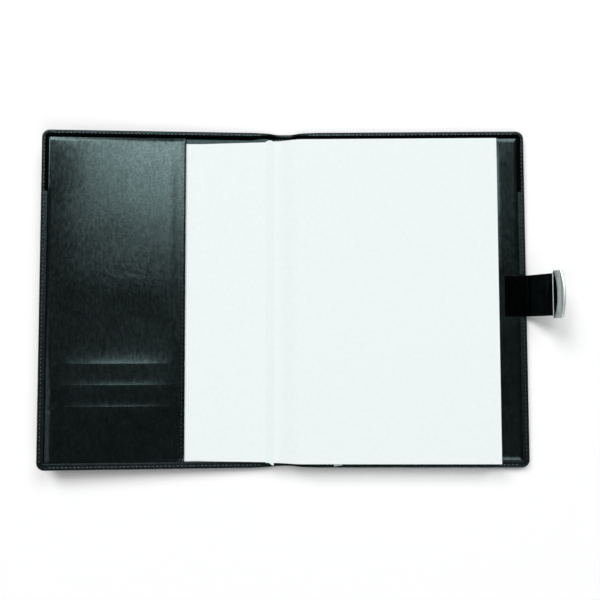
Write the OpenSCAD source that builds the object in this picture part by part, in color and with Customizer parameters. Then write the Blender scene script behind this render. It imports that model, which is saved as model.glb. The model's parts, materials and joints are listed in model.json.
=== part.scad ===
// Refillable daily planner lying open at its first page.
// Millimetres, +Z up, the back cover rests on the XY plane.
// The spine runs along Y, the front cover is on the -X side.

/* [Notebook] */
// Width of a page
page_w = 166; // [150:0.5:180]
// Height of a page
page_h = 240; // [210:1:260]
// Thickness of the page block
block_t = 11.8; // [8:0.1:20]
// Depth of the valley where the pages meet
gutter_drop = 5.5; // [3:0.1:6]
// Width over which the pages curve down to the valley
gutter_run = 22; // [12:1:40]
// Distance that the notebook slides to the right when the cover is shut
open_shift = 21; // [16:0.5:22]
// Height of the notebook's middle above the middle of the cover
page_y = -2; // [-3:0.1:3]
// Thickness of the turning leaf
leaf_t = 0.25; // [0.2:0.05:0.4]
// Thickness of the notebook's cover sheets
sheet_t = 0.5; // [0.4:0.05:1]
// Thickness of the notebook's spine card
spine_card_t = 0.85; // [0.6:0.05:1.2]
// Thickness of the endpaper and the hinge tape
endpaper_t = 0.3; // [0.2:0.05:0.4]
// Width of the hinge tape at the gutter
tape_w = 6; // [4:0.5:10]
// Length of the hinge tape's ends beyond the pages
tape_tip = 2; // [1:0.1:4]

/* [Ribbon marker] */
// Height of the ribbon above the bottom of the block
ribbon_level = 5.1; // [3:0.1:5.5]
// Width of the ribbon marker
ribbon_w = 6; // [4:0.5:8]
// Thickness of the ribbon marker
ribbon_t = 0.3; // [0.2:0.05:0.4]
// Place of the ribbon's head, measured from the gutter
ribbon_head_x = 8; // [5:0.5:20]
// Place of the ribbon's tail, measured from the gutter
ribbon_tail_x = 47.5; // [20:0.5:80]
// Length of the ribbon's tail below the pages
ribbon_tail_l = 2.4; // [1:0.1:5]

/* [Cover] */
// Height of the cover beyond the pages, at the head and at the tail
head_margin = 7; // [6.5:0.5:12]
// Width of the cover beyond the pages when it is shut
edge_margin = 3.3; // [3.3:0.1:8]
// Free space between the pages and the spine crease when it is shut
spine_play = 1.7; // [1.5:0.1:4]
// Free height above the first leaf when it is shut
closing_gap = 0.4; // [0.4:0.1:3]
// Radius of the outer corners
corner_r = 6; // [3:0.5:12]
// Height of the glossy upper band of the skin
band_h = 47; // [25:1:70]
// Angle of the front cover above the table at rest
front_lift = 4.5; // [2:0.5:8]

/* [Layers] */
// Thickness of the outer skin
skin_t = 0.7; // [0.5:0.05:1]
// Thickness of the foam padding
foam_t = 0.8; // [0.5:0.1:1.5]
// Thickness of the stiff board
board_t = 1.5; // [1:0.1:2.5]
// Thickness of the lining sheet on the board
lining_t = 0.25; // [0.2:0.05:0.4]
// Thickness of the pocket panels
panel_t = 0.6; // [0.4:0.05:0.9]
// Thickness of the spine lining
spine_lining_t = 0.4; // [0.3:0.05:0.6]
// Clearance of the layers inside the skin
layer_gap = 0.1; // [0.05:0.01:0.2]
// Distance of the foam and the board from the creases
crease_gap = 1.5; // [1:0.1:3]

/* [Hems and pockets] */
// Width of the turned-in hem
hem_w = 5.5; // [4:0.5:6.5]
// Width of the sewn allowance inside the hem
allowance_w = 3; // [1.5:0.1:3]
// Width of a card slit
slit_w = 88; // [87:0.5:90]
// Height of the open gap of a card slit
slit_gap = 0.7; // [0.5:0.1:1.2]
// Distance of the slits' outer ends from the hem
slit_side = 6.1; // [4:0.1:8]
// Distance of the slits' inner ends from the pocket's mouth
slit_in = 7.9; // [6:0.1:16]
// Height of the lowest card slit above the bottom edge
slit_low = 46.6; // [40:0.1:60]
// Distance between card slits
slit_pitch = 15.8; // [12:0.1:18]
// Thickness of a card sleeve
sleeve_t = 0.15; // [0.1:0.01:0.25]
// Width of a sleeve beyond each end of its slit
sleeve_side = 1.5; // [1:0.1:3]

/* [Stitching] */
// Distance of the stitches from the edge
stitch_inset = 2.5; // [2:0.1:2.6]
// Distance from one stitch to the next
stitch_pitch = 3; // [2.5:0.1:5]
// Length of one stitch
stitch_l = 2.2; // [1.5:0.1:2.4]
// Width of the thread
thread_w = 0.5; // [0.3:0.05:0.6]
// Height of the thread above the skin
thread_h = 0.25; // [0.15:0.05:0.25]

/* [Strap] */
// Width of the strap
strap_w = 31; // [26:0.5:40]
// Middle of the strap above the middle of the cover
strap_y = 1; // [-10:0.1:10]
// Full thickness of the strap
strap_t = 1.6; // [1.4:0.1:2]
// Slope of the strap at rest
strap_rest = 54; // [30:1:60]
// Length of the tab from its fold to its end
tab_l = 11; // [10:0.5:20]
// Length of the sewn base on the back cover
base_l = 18; // [12:0.5:24]
// Distance of the strap's root from the cover's edge
root_gap = 1.2; // [1.1:0.1:3]

/* [Clip and magnet] */
// Width of the clip's walls beside the strap
clip_side = 1.85; // [1.5:0.05:3]
// Thickness of the clip's sheet
clip_t = 0.5; // [0.4:0.05:0.8]
// Corner radius of the clip
clip_r = 2; // [1:0.1:3]
// Length of the magnet along the tab
magnet_l = 6; // [4:0.5:7]
// Width of the magnet
magnet_w = 22; // [14:0.5:24]
// Thickness of the magnet
magnet_t = 0.7; // [0.5:0.05:0.9]
// Radius of the clip's rivets
rivet_r = 0.9; // [0.6:0.1:1.1]
// Radius of the rivets' heads
rivet_head_r = 1.3; // [1.2:0.1:1.6]
// Length of the steel keeper plate across the cover's edge
keeper_l = 8; // [6:0.5:12]

/* [Hidden] */
$fn = 48;
contact_gap = 0.05;
slide_gap = 0.1;
fit_gap = 0.05;
roll_gap = 0.15;
shut_gap = 0.25;
sleeve_step = sleeve_t + 0.04;
slits = [0, 1, 2];
pocket_gap = contact_gap + sheet_t + len(slits) * sleeve_step + 0.08;
foam_z = skin_t;
board_z = foam_z + foam_t;
lining_z = board_z + board_t;
pocket_z = lining_z + lining_t;
panel_z = pocket_z + pocket_gap;
lip_z = panel_z + panel_t;
edge_z = lip_z + skin_t;
spine_t = skin_t + spine_lining_t;
axis_z = spine_t / 2;
skin_gap = axis_z * sin(front_lift) + 0.02;
leaf_gap = contact_gap;
spine_w = 2 * (edge_z - axis_z) + slide_gap + block_t + leaf_gap + leaf_t + closing_gap;
half_spine = spine_w / 2;
cover_l = page_w + spine_play + edge_margin;
cover_h = page_h + 2 * head_margin;
half_h = cover_h / 2;
half_page = page_h / 2;
seam_y = half_h - band_h;
gutter_x = half_spine + spine_play - open_shift;
page_r = gutter_x + page_w;
block_z = edge_z + slide_gap;
block_top = block_z + block_t;
ribbon_z = block_z + ribbon_level;
ribbon_floor = ribbon_z - ribbon_t - 0.1;
valley_z = block_top - gutter_drop;
sheet_z = pocket_z + contact_gap;
sheet_in = 0.5;
sheet_half = min(half_page - sheet_in, half_h - hem_w - abs(page_y) - 0.1);
sheet_lap = 2.5;
front_sheet_l = page_w - half_spine - gutter_x;
tape_z = valley_z - endpaper_t;
tape_fall = 0.2;
slit_x = cover_l - hem_w - slit_side - slit_w;
mouth_x = slit_x - slit_in;
sleeve_h = slit_low - hem_w - 3.3;
edge_x = half_spine + cover_l;
root_x = edge_x + root_gap;
root_z = lip_z + skin_t / 2;
roll_r = strap_t / 2;
clip_half = roll_r + clip_t;
clip_w = strap_w + 2 * (clip_side + fit_gap);
clip_start = roll_r + 0.4;
clip_end = tab_l + clip_t + fit_gap;
magnet_x = tab_l - 2 - magnet_l;
rivet_x = tab_l - 5;
rivet_y = strap_w / 2 - 2.1;
rivet_head_t = 0.12;
keeper_w = magnet_w + 2;
keeper_in = 2;
riser_l = 2 * axis_z + spine_w + clip_half + shut_gap - root_z;
reach = riser_l + clip_end;
x_low = -half_spine - cover_l * cos(front_lift) - axis_z * sin(front_lift);
x_high = root_x + reach * cos(strap_rest) + clip_half * sin(strap_rest);
x_shift = -(x_low + x_high) / 2;

// Places a flat cover, drawn from its crease towards +X, as the back cover.
module as_back() {
  translate([x_shift + half_spine, 0, 0])
    children();
}

// Places a flat cover, drawn from its crease towards +X, as the lifted front cover.
module as_front() {
  translate([x_shift - half_spine, 0, axis_z])
    rotate([0, front_lift, 0])
      translate([0, 0, -axis_z])
        mirror([1, 0, 0])
          children();
}

// Places what is drawn around the middle of the spine.
module as_middle() {
  translate([x_shift, 0, 0])
    children();
}

// Places what is drawn around the gutter as part of the notebook.
module as_refill() {
  translate([x_shift, page_y, 0])
    children();
}

// Places the strap, drawn along +X from the fold at its root.
module as_strap() {
  translate([x_shift + root_x, strap_y, root_z])
    rotate([0, -strap_rest, 0])
      children();
}

// Outline of a cover, set in from its three free edges.
module outline(inset, start = 0) {
  r = max(corner_r - inset, 0.6);
  l = cover_l - inset;
  h = half_h - inset;
  translate([start, -h])
    square([l - r - start, 2 * h]);
  translate([l - 2 * r, r - h])
    square([2 * r, 2 * (h - r)]);
  translate([l - r, h - r])
    circle(r = r);
  translate([l - r, r - h])
    circle(r = r);
}

// A layer of the cover's outline.
module layer(z, t, inset, start = 0) {
  translate([0, 0, z])
    linear_extrude(height = t)
      outline(inset, start);
}

// Skin of a cover with its turned-in hem and sewn allowance.
module wrapped_skin() {
  difference() {
    layer(0, edge_z, 0);
    layer(foam_z, pocket_z - foam_z, skin_t, -1);
    layer(pocket_z - 0.01, pocket_gap + 0.02, allowance_w, -1);
    layer(panel_z, panel_t, skin_t, -1);
    layer(lip_z - 0.01, skin_t + 1, hem_w, -1);
  }
}

// Keeps the part of a skin that is above the band's seam.
module above_seam() {
  intersection() {
    children();
    translate([skin_gap, seam_y, -1])
      cube([cover_l + 1, band_h + 1, edge_z + 2]);
  }
}

// Keeps the part of a skin that is below the band's seam.
module below_seam() {
  intersection() {
    children();
    translate([skin_gap, -half_h - 1, -1])
      cube([cover_l + 1, cover_h - band_h + 1, edge_z + 2]);
  }
}

// Spine sheet with a turned-in hem at its free end, between two heights.
module spine_sheet(y0, y1, end) {
  s = end > 0 ? 1 : -1;
  inner = end > 0 ? y0 : y1;
  points = [
    [inner, 0],
    [s * half_h, 0],
    [s * half_h, spine_t + skin_t],
    [s * (half_h - hem_w), spine_t + skin_t],
    [s * (half_h - hem_w), spine_t],
    [s * (half_h - skin_t), spine_t],
    [s * (half_h - skin_t), skin_t],
    [inner, skin_t]
  ];
  translate([-half_spine, 0, 0])
    rotate([90, 0, 90])
      linear_extrude(height = spine_w)
        polygon(points);
}

// Row of stitches along X on a hem.
module stitch_row_x(x0, x1, y, z) {
  n = floor((x1 - x0) / stitch_pitch);
  for (i = [0 : n - 1])
    translate([x0 + i * stitch_pitch, y - thread_w / 2, z])
      cube([stitch_l, thread_w, thread_h]);
}

// Row of stitches along Y on a hem.
module stitch_row_y(y0, y1, x, z) {
  n = floor((y1 - y0) / stitch_pitch);
  for (i = [0 : n - 1])
    translate([x - thread_w / 2, y0 + i * stitch_pitch, z])
      cube([thread_w, stitch_l, thread_h]);
}

// Stitches along the top and bottom hems of a cover.
module hem_rows() {
  stitch_row_x(3, cover_l - corner_r, half_h - stitch_inset, edge_z);
  stitch_row_x(3, cover_l - corner_r, stitch_inset - half_h, edge_z);
}

// Height of the page surface at a place across the page.
function page_z(u) = block_top - gutter_drop * (1 + cos(180 * min(1, u / gutter_run))) / 2;

// Points of the page surface from the gutter to the outer edge.
function page_line(lift, start) = concat(
  [for (i = [0 : 11]) [gutter_x + max(start, i * gutter_run / 11), page_z(i * gutter_run / 11) + lift]],
  [[page_r, block_top + lift]]
);

// Prism along Y of a profile drawn in X and Z.
module across(points, h) {
  rotate([90, 0, 0])
    linear_extrude(height = h, center = true)
      polygon(points);
}

// Plan of the ribbon, wider by a margin.
module ribbon_plan(margin) {
  head_x = gutter_x + ribbon_head_x;
  tail_x = gutter_x + ribbon_tail_x;
  head_y = half_page - 1;
  tail_y = -half_page - ribbon_tail_l;
  w = ribbon_w / 2 + margin;
  polygon([
    [head_x - w, head_y + margin],
    [head_x + w, head_y + margin],
    [tail_x + w, -half_page],
    [tail_x + w - ribbon_w / 4, tail_y],
    [tail_x - w + ribbon_w / 8, tail_y],
    [tail_x - w, -half_page]
  ]);
}

// Point of the front cover, given in the flat cover's own measures.
function front_point(l, z) = [
  -half_spine - l * cos(front_lift) + (z - axis_z) * sin(front_lift),
  axis_z + l * sin(front_lift) + (z - axis_z) * cos(front_lift)
];

// Height of a card slit on the front pocket, counted from the top slit.
function slit_y(i) = slit_low - half_h + (len(slits) - 1 - i) * slit_pitch;

// Sleeve of a card slit, hung from the lower lip of the slit.
module card_sleeve(i) {
  y = slit_y(i) - slit_gap / 2;
  z = panel_z - contact_gap - (len(slits) - i) * sleeve_step;
  w = slit_w + 2 * sleeve_side;
  as_front() {
    translate([slit_x - sleeve_side, y - sleeve_h, z])
      cube([w, sleeve_h, sleeve_t]);
    translate([slit_x - sleeve_side, y - 1, z])
      cube([w, 1, panel_z - z]);
  }
}

// Flat ply of the strap with rounded end corners.
module ply(x0, x1, z, t, r = 0) {
  translate([0, 0, z])
    linear_extrude(height = t) {
      translate([x0, -strap_w / 2])
        square([x1 - x0 - r, strap_w]);
      translate([x0, r - strap_w / 2])
        square([x1 - x0, strap_w - 2 * r]);
    }
}

// Room of the magnet between the tab's plies.
module magnet_room(margin) {
  translate([magnet_x - margin, -magnet_w / 2 - margin, -magnet_t / 2 - margin])
    cube([magnet_l + 2 * margin, magnet_w + 2 * margin, magnet_t + 2 * margin]);
}

// Holes for the two clip rivets.
module rivet_holes() {
  for (y = [-rivet_y, rivet_y])
    translate([rivet_x, y, -clip_half - 1])
      cylinder(r = rivet_r, h = 2 * clip_half + 2);
}

module back_skin_upper() {
  color("#0b0d0e")
    as_back()
      above_seam()
        wrapped_skin();
}

module back_skin_lower() {
  color("#1a1f20")
    as_back()
      difference() {
        below_seam()
          wrapped_skin();
        translate([cover_l - hem_w - 0.5, strap_y - strap_w / 2 - 0.3, lip_z])
          cube([hem_w + 1, strap_w + 0.6, skin_t + 1]);
      }
}

module back_foam() {
  color("#3b3d3f")
    as_back()
      layer(foam_z, foam_t, skin_t + layer_gap, crease_gap);
}

module back_board() {
  color("#8a8272")
    as_back()
      layer(board_z, board_t, skin_t + layer_gap, crease_gap);
}

module back_lining() {
  color("#15191a")
    as_back()
      layer(lining_z, lining_t, skin_t + layer_gap, crease_gap / 3);
}

module back_pocket_panel() {
  color("#1c2223")
    as_back()
      layer(panel_z, panel_t, skin_t + layer_gap, mouth_x);
}

module back_edge_stitching() {
  x = cover_l - stitch_inset;
  low = strap_y - strap_w / 2 - 0.6;
  high = strap_y + strap_w / 2 + 0.6;
  color("#4a5457")
    as_back() {
      hem_rows();
      stitch_row_y(corner_r - half_h, low, x, edge_z);
      stitch_row_y(high, half_h - corner_r, x, edge_z);
    }
}

module back_pocket_stitching() {
  color("#4a5457")
    as_back()
      stitch_row_y(hem_w - half_h + 1, half_h - hem_w - 1, mouth_x + 2.2, lip_z);
}

module strap_base() {
  length = base_l + root_gap - roll_r - roll_gap;
  color("#060707")
    as_back()
      translate([cover_l - base_l, strap_y - strap_w / 2, lip_z])
        cube([length, strap_w, skin_t]);
}

module spine_skin_upper() {
  color("#0b0d0e")
    as_middle()
      spine_sheet(seam_y, half_h, 1);
}

module spine_skin_lower() {
  color("#1a1f20")
    as_middle()
      spine_sheet(-half_h, seam_y, -1);
}

module spine_lining() {
  color("#15191a")
    as_middle()
      translate([-half_spine, skin_t - half_h, skin_t])
        cube([spine_w, cover_h - 2 * skin_t, spine_lining_t]);
}

module front_skin_upper() {
  color("#0b0d0e")
    as_front()
      above_seam()
        wrapped_skin();
}

module front_skin_lower() {
  color("#1a1f20")
    as_front()
      below_seam()
        wrapped_skin();
}

module front_foam() {
  color("#3b3d3f")
    as_front()
      difference() {
        layer(foam_z, foam_t, skin_t + layer_gap, crease_gap);
        translate([
          cover_l - keeper_in - keeper_l - layer_gap,
          strap_y - keeper_w / 2 - layer_gap,
          foam_z - 1
        ])
          cube([keeper_l + 2 * layer_gap, keeper_w + 2 * layer_gap, foam_t + 2]);
      }
}

module front_board() {
  color("#8a8272")
    as_front()
      layer(board_z, board_t, skin_t + layer_gap, crease_gap);
}

module front_lining() {
  color("#15191a")
    as_front()
      layer(lining_z, lining_t, skin_t + layer_gap, crease_gap / 3);
}

module front_pocket_panel() {
  color("#1c2223")
    as_front()
      difference() {
        layer(panel_z, panel_t, skin_t + layer_gap, mouth_x);
        for (i = slits)
          translate([slit_x, slit_y(i) - slit_gap / 2, panel_z - 1])
            cube([slit_w, slit_gap, panel_t + 2]);
      }
}

module card_sleeve_1() {
  color("#101314")
    card_sleeve(0);
}

module card_sleeve_2() {
  color("#101314")
    card_sleeve(1);
}

module card_sleeve_3() {
  color("#101314")
    card_sleeve(2);
}

module front_edge_stitching() {
  color("#4a5457")
    as_front() {
      hem_rows();
      stitch_row_y(corner_r - half_h, half_h - corner_r, cover_l - stitch_inset, edge_z);
    }
}

module front_pocket_stitching() {
  color("#4a5457")
    as_front()
      stitch_row_y(hem_w - half_h + 1, half_h - hem_w - 1, mouth_x + 2.2, lip_z);
}

module keeper_plate() {
  color("#a8adb0")
    as_front()
      translate([cover_l - keeper_in - keeper_l, strap_y - keeper_w / 2, foam_z])
        cube([keeper_l, keeper_w, foam_t]);
}

module notebook_front_cover() {
  color("#eef2f2")
    as_front()
      translate([mouth_x + sheet_lap, page_y - sheet_half, sheet_z])
        cube([front_sheet_l - mouth_x - sheet_lap, 2 * sheet_half, sheet_t]);
}

module front_endpaper() {
  low = [
    front_point(mouth_x + sheet_lap - roll_gap, sheet_z + contact_gap),
    front_point(mouth_x - 8, sheet_z + 0.4)
  ];
  end = [gutter_x - tape_w - slide_gap, tape_z - tape_fall];
  bottom = [low[0], low[1], end];
  top = [for (p = [end, low[1], low[0]]) [p[0], p[1] + endpaper_t]];
  color("#eef2f2")
    as_refill()
      across(concat(bottom, top), 2 * sheet_half);
}

module hinge_tape() {
  points = [
    [gutter_x - tape_w, tape_z - tape_fall],
    [gutter_x - contact_gap, tape_z],
    [gutter_x - contact_gap, valley_z],
    [gutter_x - tape_w, valley_z - tape_fall]
  ];
  tip = half_page + tape_tip;
  color("#f2f5f5")
    as_refill()
      intersection() {
        across(points, page_h + 2 * tape_tip);
        translate([0, 0, tape_z - 2])
          linear_extrude(height = endpaper_t + 4)
            polygon([
              [gutter_x - tape_w - 1, -half_page],
              [gutter_x - tape_w / 2, -half_page],
              [gutter_x - tape_w / 6, -tip],
              [gutter_x, -half_page],
              [gutter_x, half_page],
              [gutter_x - tape_w / 6, tip],
              [gutter_x - tape_w * 5 / 6, tip],
              [gutter_x - tape_w - 1, half_page]
            ]);
      }
}

module first_leaf() {
  top = page_line(leaf_gap + leaf_t, 2 * slide_gap);
  bottom = page_line(leaf_gap, 2 * slide_gap);
  n = len(bottom);
  color("#f0f4f4")
    as_refill()
      across(concat(top, [for (i = [0 : n - 1]) bottom[n - 1 - i]]), page_h);
}

module page_block_upper() {
  color("#ebeeee")
    as_refill()
      across(concat(page_line(0, 0), [[page_r, ribbon_z], [gutter_x, ribbon_z]]), page_h);
}

module page_block_lower() {
  color("#ebeeee")
    as_refill()
      difference() {
        translate([gutter_x, -half_page, block_z])
          cube([page_w, page_h, ribbon_level]);
        translate([0, 0, ribbon_floor])
          linear_extrude(height = ribbon_t + 1)
            ribbon_plan(0.3);
      }
}

module ribbon_marker() {
  color("#dfe5e5")
    as_refill()
      translate([0, 0, ribbon_floor])
        linear_extrude(height = ribbon_t)
          ribbon_plan(0);
}

module notebook_spine() {
  color("#e6eaea")
    as_refill()
      translate([gutter_x - spine_card_t, -sheet_half, sheet_z + sheet_t])
        cube([spine_card_t, 2 * sheet_half, tape_z - tape_fall - contact_gap - sheet_z - sheet_t]);
}

module notebook_back_cover() {
  color("#e6eaea")
    as_refill()
      translate([gutter_x - spine_card_t, -sheet_half, sheet_z])
        cube([page_w, 2 * sheet_half, sheet_t]);
}

module strap_riser_face() {
  color("#060707")
    as_strap() {
      ply(0, riser_l, -roll_r, roll_r);
      for (x = [0, riser_l])
        translate([x, 0, 0])
          rotate([90, 0, 0])
            cylinder(r = roll_r, h = strap_w, center = true);
    }
}

module strap_riser_lining() {
  color("#060707")
    as_strap()
      ply(roll_r + contact_gap, riser_l - roll_r - contact_gap, 0, roll_r);
}

module strap_tab_face() {
  color("#060707")
    as_strap()
      translate([riser_l, 0, 0])
        difference() {
          ply(roll_r + roll_gap, tab_l, -roll_r, roll_r, 1);
          magnet_room(fit_gap);
          rivet_holes();
        }
}

module strap_tab_lining() {
  color("#060707")
    as_strap()
      translate([riser_l, 0, 0])
        difference() {
          ply(roll_r + roll_gap, tab_l, 0, roll_r, 1);
          magnet_room(fit_gap);
          rivet_holes();
        }
}

module strap_magnet() {
  color("#5a5f62")
    as_strap()
      translate([riser_l, 0, 0])
        magnet_room(0);
}

module metal_tip() {
  color("#c6d2d2")
    as_strap()
      translate([riser_l, 0, 0])
        difference() {
          translate([0, 0, -clip_half])
            linear_extrude(height = 2 * clip_half) {
              translate([clip_start, -clip_w / 2])
                square([clip_end - clip_r - clip_start, clip_w]);
              translate([clip_start, clip_r - clip_w / 2])
                square([clip_end - clip_start, clip_w - 2 * clip_r]);
              for (s = [-1, 1])
                translate([clip_end - clip_r, s * (clip_w / 2 - clip_r)])
                  circle(r = clip_r);
            }
          translate([0, -strap_w / 2 - fit_gap, -roll_r])
            cube([tab_l + fit_gap, strap_w + 2 * fit_gap, strap_t]);
          rivet_holes();
        }
}

module tip_rivets() {
  color("#9aa5a6")
    as_strap()
      translate([riser_l, 0, 0])
        for (y = [-rivet_y, rivet_y])
          translate([rivet_x, y, -clip_half]) {
            cylinder(r = rivet_r, h = 2 * clip_half);
            translate([0, 0, -rivet_head_t])
              cylinder(r = rivet_head_r, h = rivet_head_t);
          }
}

back_skin_upper();
back_skin_lower();
back_foam();
back_board();
back_lining();
back_pocket_panel();
back_edge_stitching();
back_pocket_stitching();
strap_base();
spine_skin_upper();
spine_skin_lower();
spine_lining();
front_skin_upper();
front_skin_lower();
front_foam();
front_board();
front_lining();
front_pocket_panel();
card_sleeve_1();
card_sleeve_2();
card_sleeve_3();
front_edge_stitching();
front_pocket_stitching();
keeper_plate();
notebook_front_cover();
front_endpaper();
hinge_tape();
first_leaf();
page_block_upper();
page_block_lower();
ribbon_marker();
notebook_spine();
notebook_back_cover();
strap_riser_face();
strap_riser_lining();
strap_tab_face();
strap_tab_lining();
strap_magnet();
metal_tip();
tip_rivets();
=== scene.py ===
"""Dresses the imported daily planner: leatherette cover, notebook refill and closing strap.

Shapes are drawn in millimetres, and scaled to metres when a piece is made. A field whose name
ends in _run holds where a smooth step starts and how long it is, and one whose name ends in
_waves the size of a relief's features along x and y, and its seed.
"""

import json
import logging
import math
from dataclasses import dataclass, field
from enum import Enum
from typing import Any, Callable, Iterable, Sequence

import bmesh
import bpy
from mathutils import Matrix, Vector, noise
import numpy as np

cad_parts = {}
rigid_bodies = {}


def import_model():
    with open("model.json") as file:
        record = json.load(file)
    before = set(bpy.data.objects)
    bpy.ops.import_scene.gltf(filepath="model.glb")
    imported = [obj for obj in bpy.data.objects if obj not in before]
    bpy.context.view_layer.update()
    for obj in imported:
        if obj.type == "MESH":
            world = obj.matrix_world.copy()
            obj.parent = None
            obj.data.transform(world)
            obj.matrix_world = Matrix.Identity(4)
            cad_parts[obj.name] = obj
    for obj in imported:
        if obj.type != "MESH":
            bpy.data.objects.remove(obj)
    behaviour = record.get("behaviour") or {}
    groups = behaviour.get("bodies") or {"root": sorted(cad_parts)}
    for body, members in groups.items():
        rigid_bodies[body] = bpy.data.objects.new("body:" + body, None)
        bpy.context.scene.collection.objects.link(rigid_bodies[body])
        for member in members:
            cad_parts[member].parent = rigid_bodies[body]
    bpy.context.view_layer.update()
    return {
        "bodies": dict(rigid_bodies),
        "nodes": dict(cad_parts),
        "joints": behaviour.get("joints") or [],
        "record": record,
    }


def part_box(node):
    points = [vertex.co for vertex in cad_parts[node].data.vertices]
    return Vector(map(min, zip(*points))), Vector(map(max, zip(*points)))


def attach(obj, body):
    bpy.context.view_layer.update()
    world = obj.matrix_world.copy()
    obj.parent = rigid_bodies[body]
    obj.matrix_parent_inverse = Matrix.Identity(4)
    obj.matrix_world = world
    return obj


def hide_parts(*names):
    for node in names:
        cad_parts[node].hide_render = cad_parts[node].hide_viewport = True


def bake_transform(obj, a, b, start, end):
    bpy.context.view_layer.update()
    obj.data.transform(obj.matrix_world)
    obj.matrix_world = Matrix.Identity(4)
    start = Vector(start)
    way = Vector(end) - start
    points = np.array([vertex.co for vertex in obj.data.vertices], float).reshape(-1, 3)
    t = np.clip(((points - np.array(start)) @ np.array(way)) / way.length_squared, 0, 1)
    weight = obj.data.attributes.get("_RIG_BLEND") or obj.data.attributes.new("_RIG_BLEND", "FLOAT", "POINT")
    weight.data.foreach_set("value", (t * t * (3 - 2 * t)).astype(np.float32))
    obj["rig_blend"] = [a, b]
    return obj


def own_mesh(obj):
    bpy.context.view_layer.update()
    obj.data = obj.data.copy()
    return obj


LOG = logging.getLogger("planner")
MM = 0.001
FAR = 1e3
SNAP = 1e-5
TOUCH = 1e-4
NEAR = 1e-3
SHARP_ANGLE = math.radians(38)
QUARTER_TURN = math.pi / 2
Mesh = bmesh.types.BMesh
Vert = bmesh.types.BMVert
Piece = bpy.types.Object
Place = Callable[[Vector], Vector]


class Side(Enum):
    """The two covers of the planner."""

    FRONT = "front"
    BACK = "back"


class Band(Enum):
    """The two parts of the outer skin, above and below the sewn seam."""

    UPPER = "upper"
    LOWER = "lower"


class Stretch(Enum):
    """The four lengths of the outer skin across the flat cover."""

    BACK = "back"
    SPINE_BACK = "spine_back"
    SPINE_FRONT = "spine_front"
    FRONT = "front"


class Axis(Enum):
    """The axes that a mesh is cut across, with their numbers."""

    X = 0
    Y = 1


class Keep(Enum):
    """What is left of a mesh at a cut, with the sign of its side."""

    BOTH = 0
    ABOVE = 1
    BELOW = -1


def linear(hex_colour: str) -> tuple[float, float, float, float]:
    """Turns an sRGB hex value into linear RGBA.

    Args:
        hex_colour: six hex digits after a hash sign.

    Returns:
        The linear red, green, blue and alpha.
    """
    parts = [int(hex_colour[i : i + 2], 16) / 255 for i in (1, 3, 5)]
    r, g, b = [c / 12.92 if c <= 0.04045 else ((c + 0.055) / 1.055) ** 2.4 for c in parts]
    return (r, g, b, 1.0)


def smooth(value: float, start: float = 0.0, run: float = 1.0) -> float:
    """Smooth step that is 0 up to the start and 1 from the end of the run."""
    t = min(1.0, max(0.0, (value - start) / run))
    return t * t * (3 - 2 * t)


def mix(a: float, b: float, t: float) -> float:
    """Value between a and b at the share t."""
    return a + (b - a) * t


def bell(value: float, middle: float, width: float) -> float:
    """Bell curve that is 1 at the middle and falls off over the width."""
    return math.exp(-(((value - middle) / width) ** 2))


def ripple(x: float, y: float, waves: Sequence[float]) -> float:
    """Height of a cloudy relief at a place, from -1 to 1."""
    return noise.noise(Vector((x / waves[0], y / waves[1], waves[2])))


def per_mm(size_mm: float) -> float:
    """Texture scale whose features are size_mm wide on Object coordinates."""
    return 1.0 / (size_mm * MM)


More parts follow.
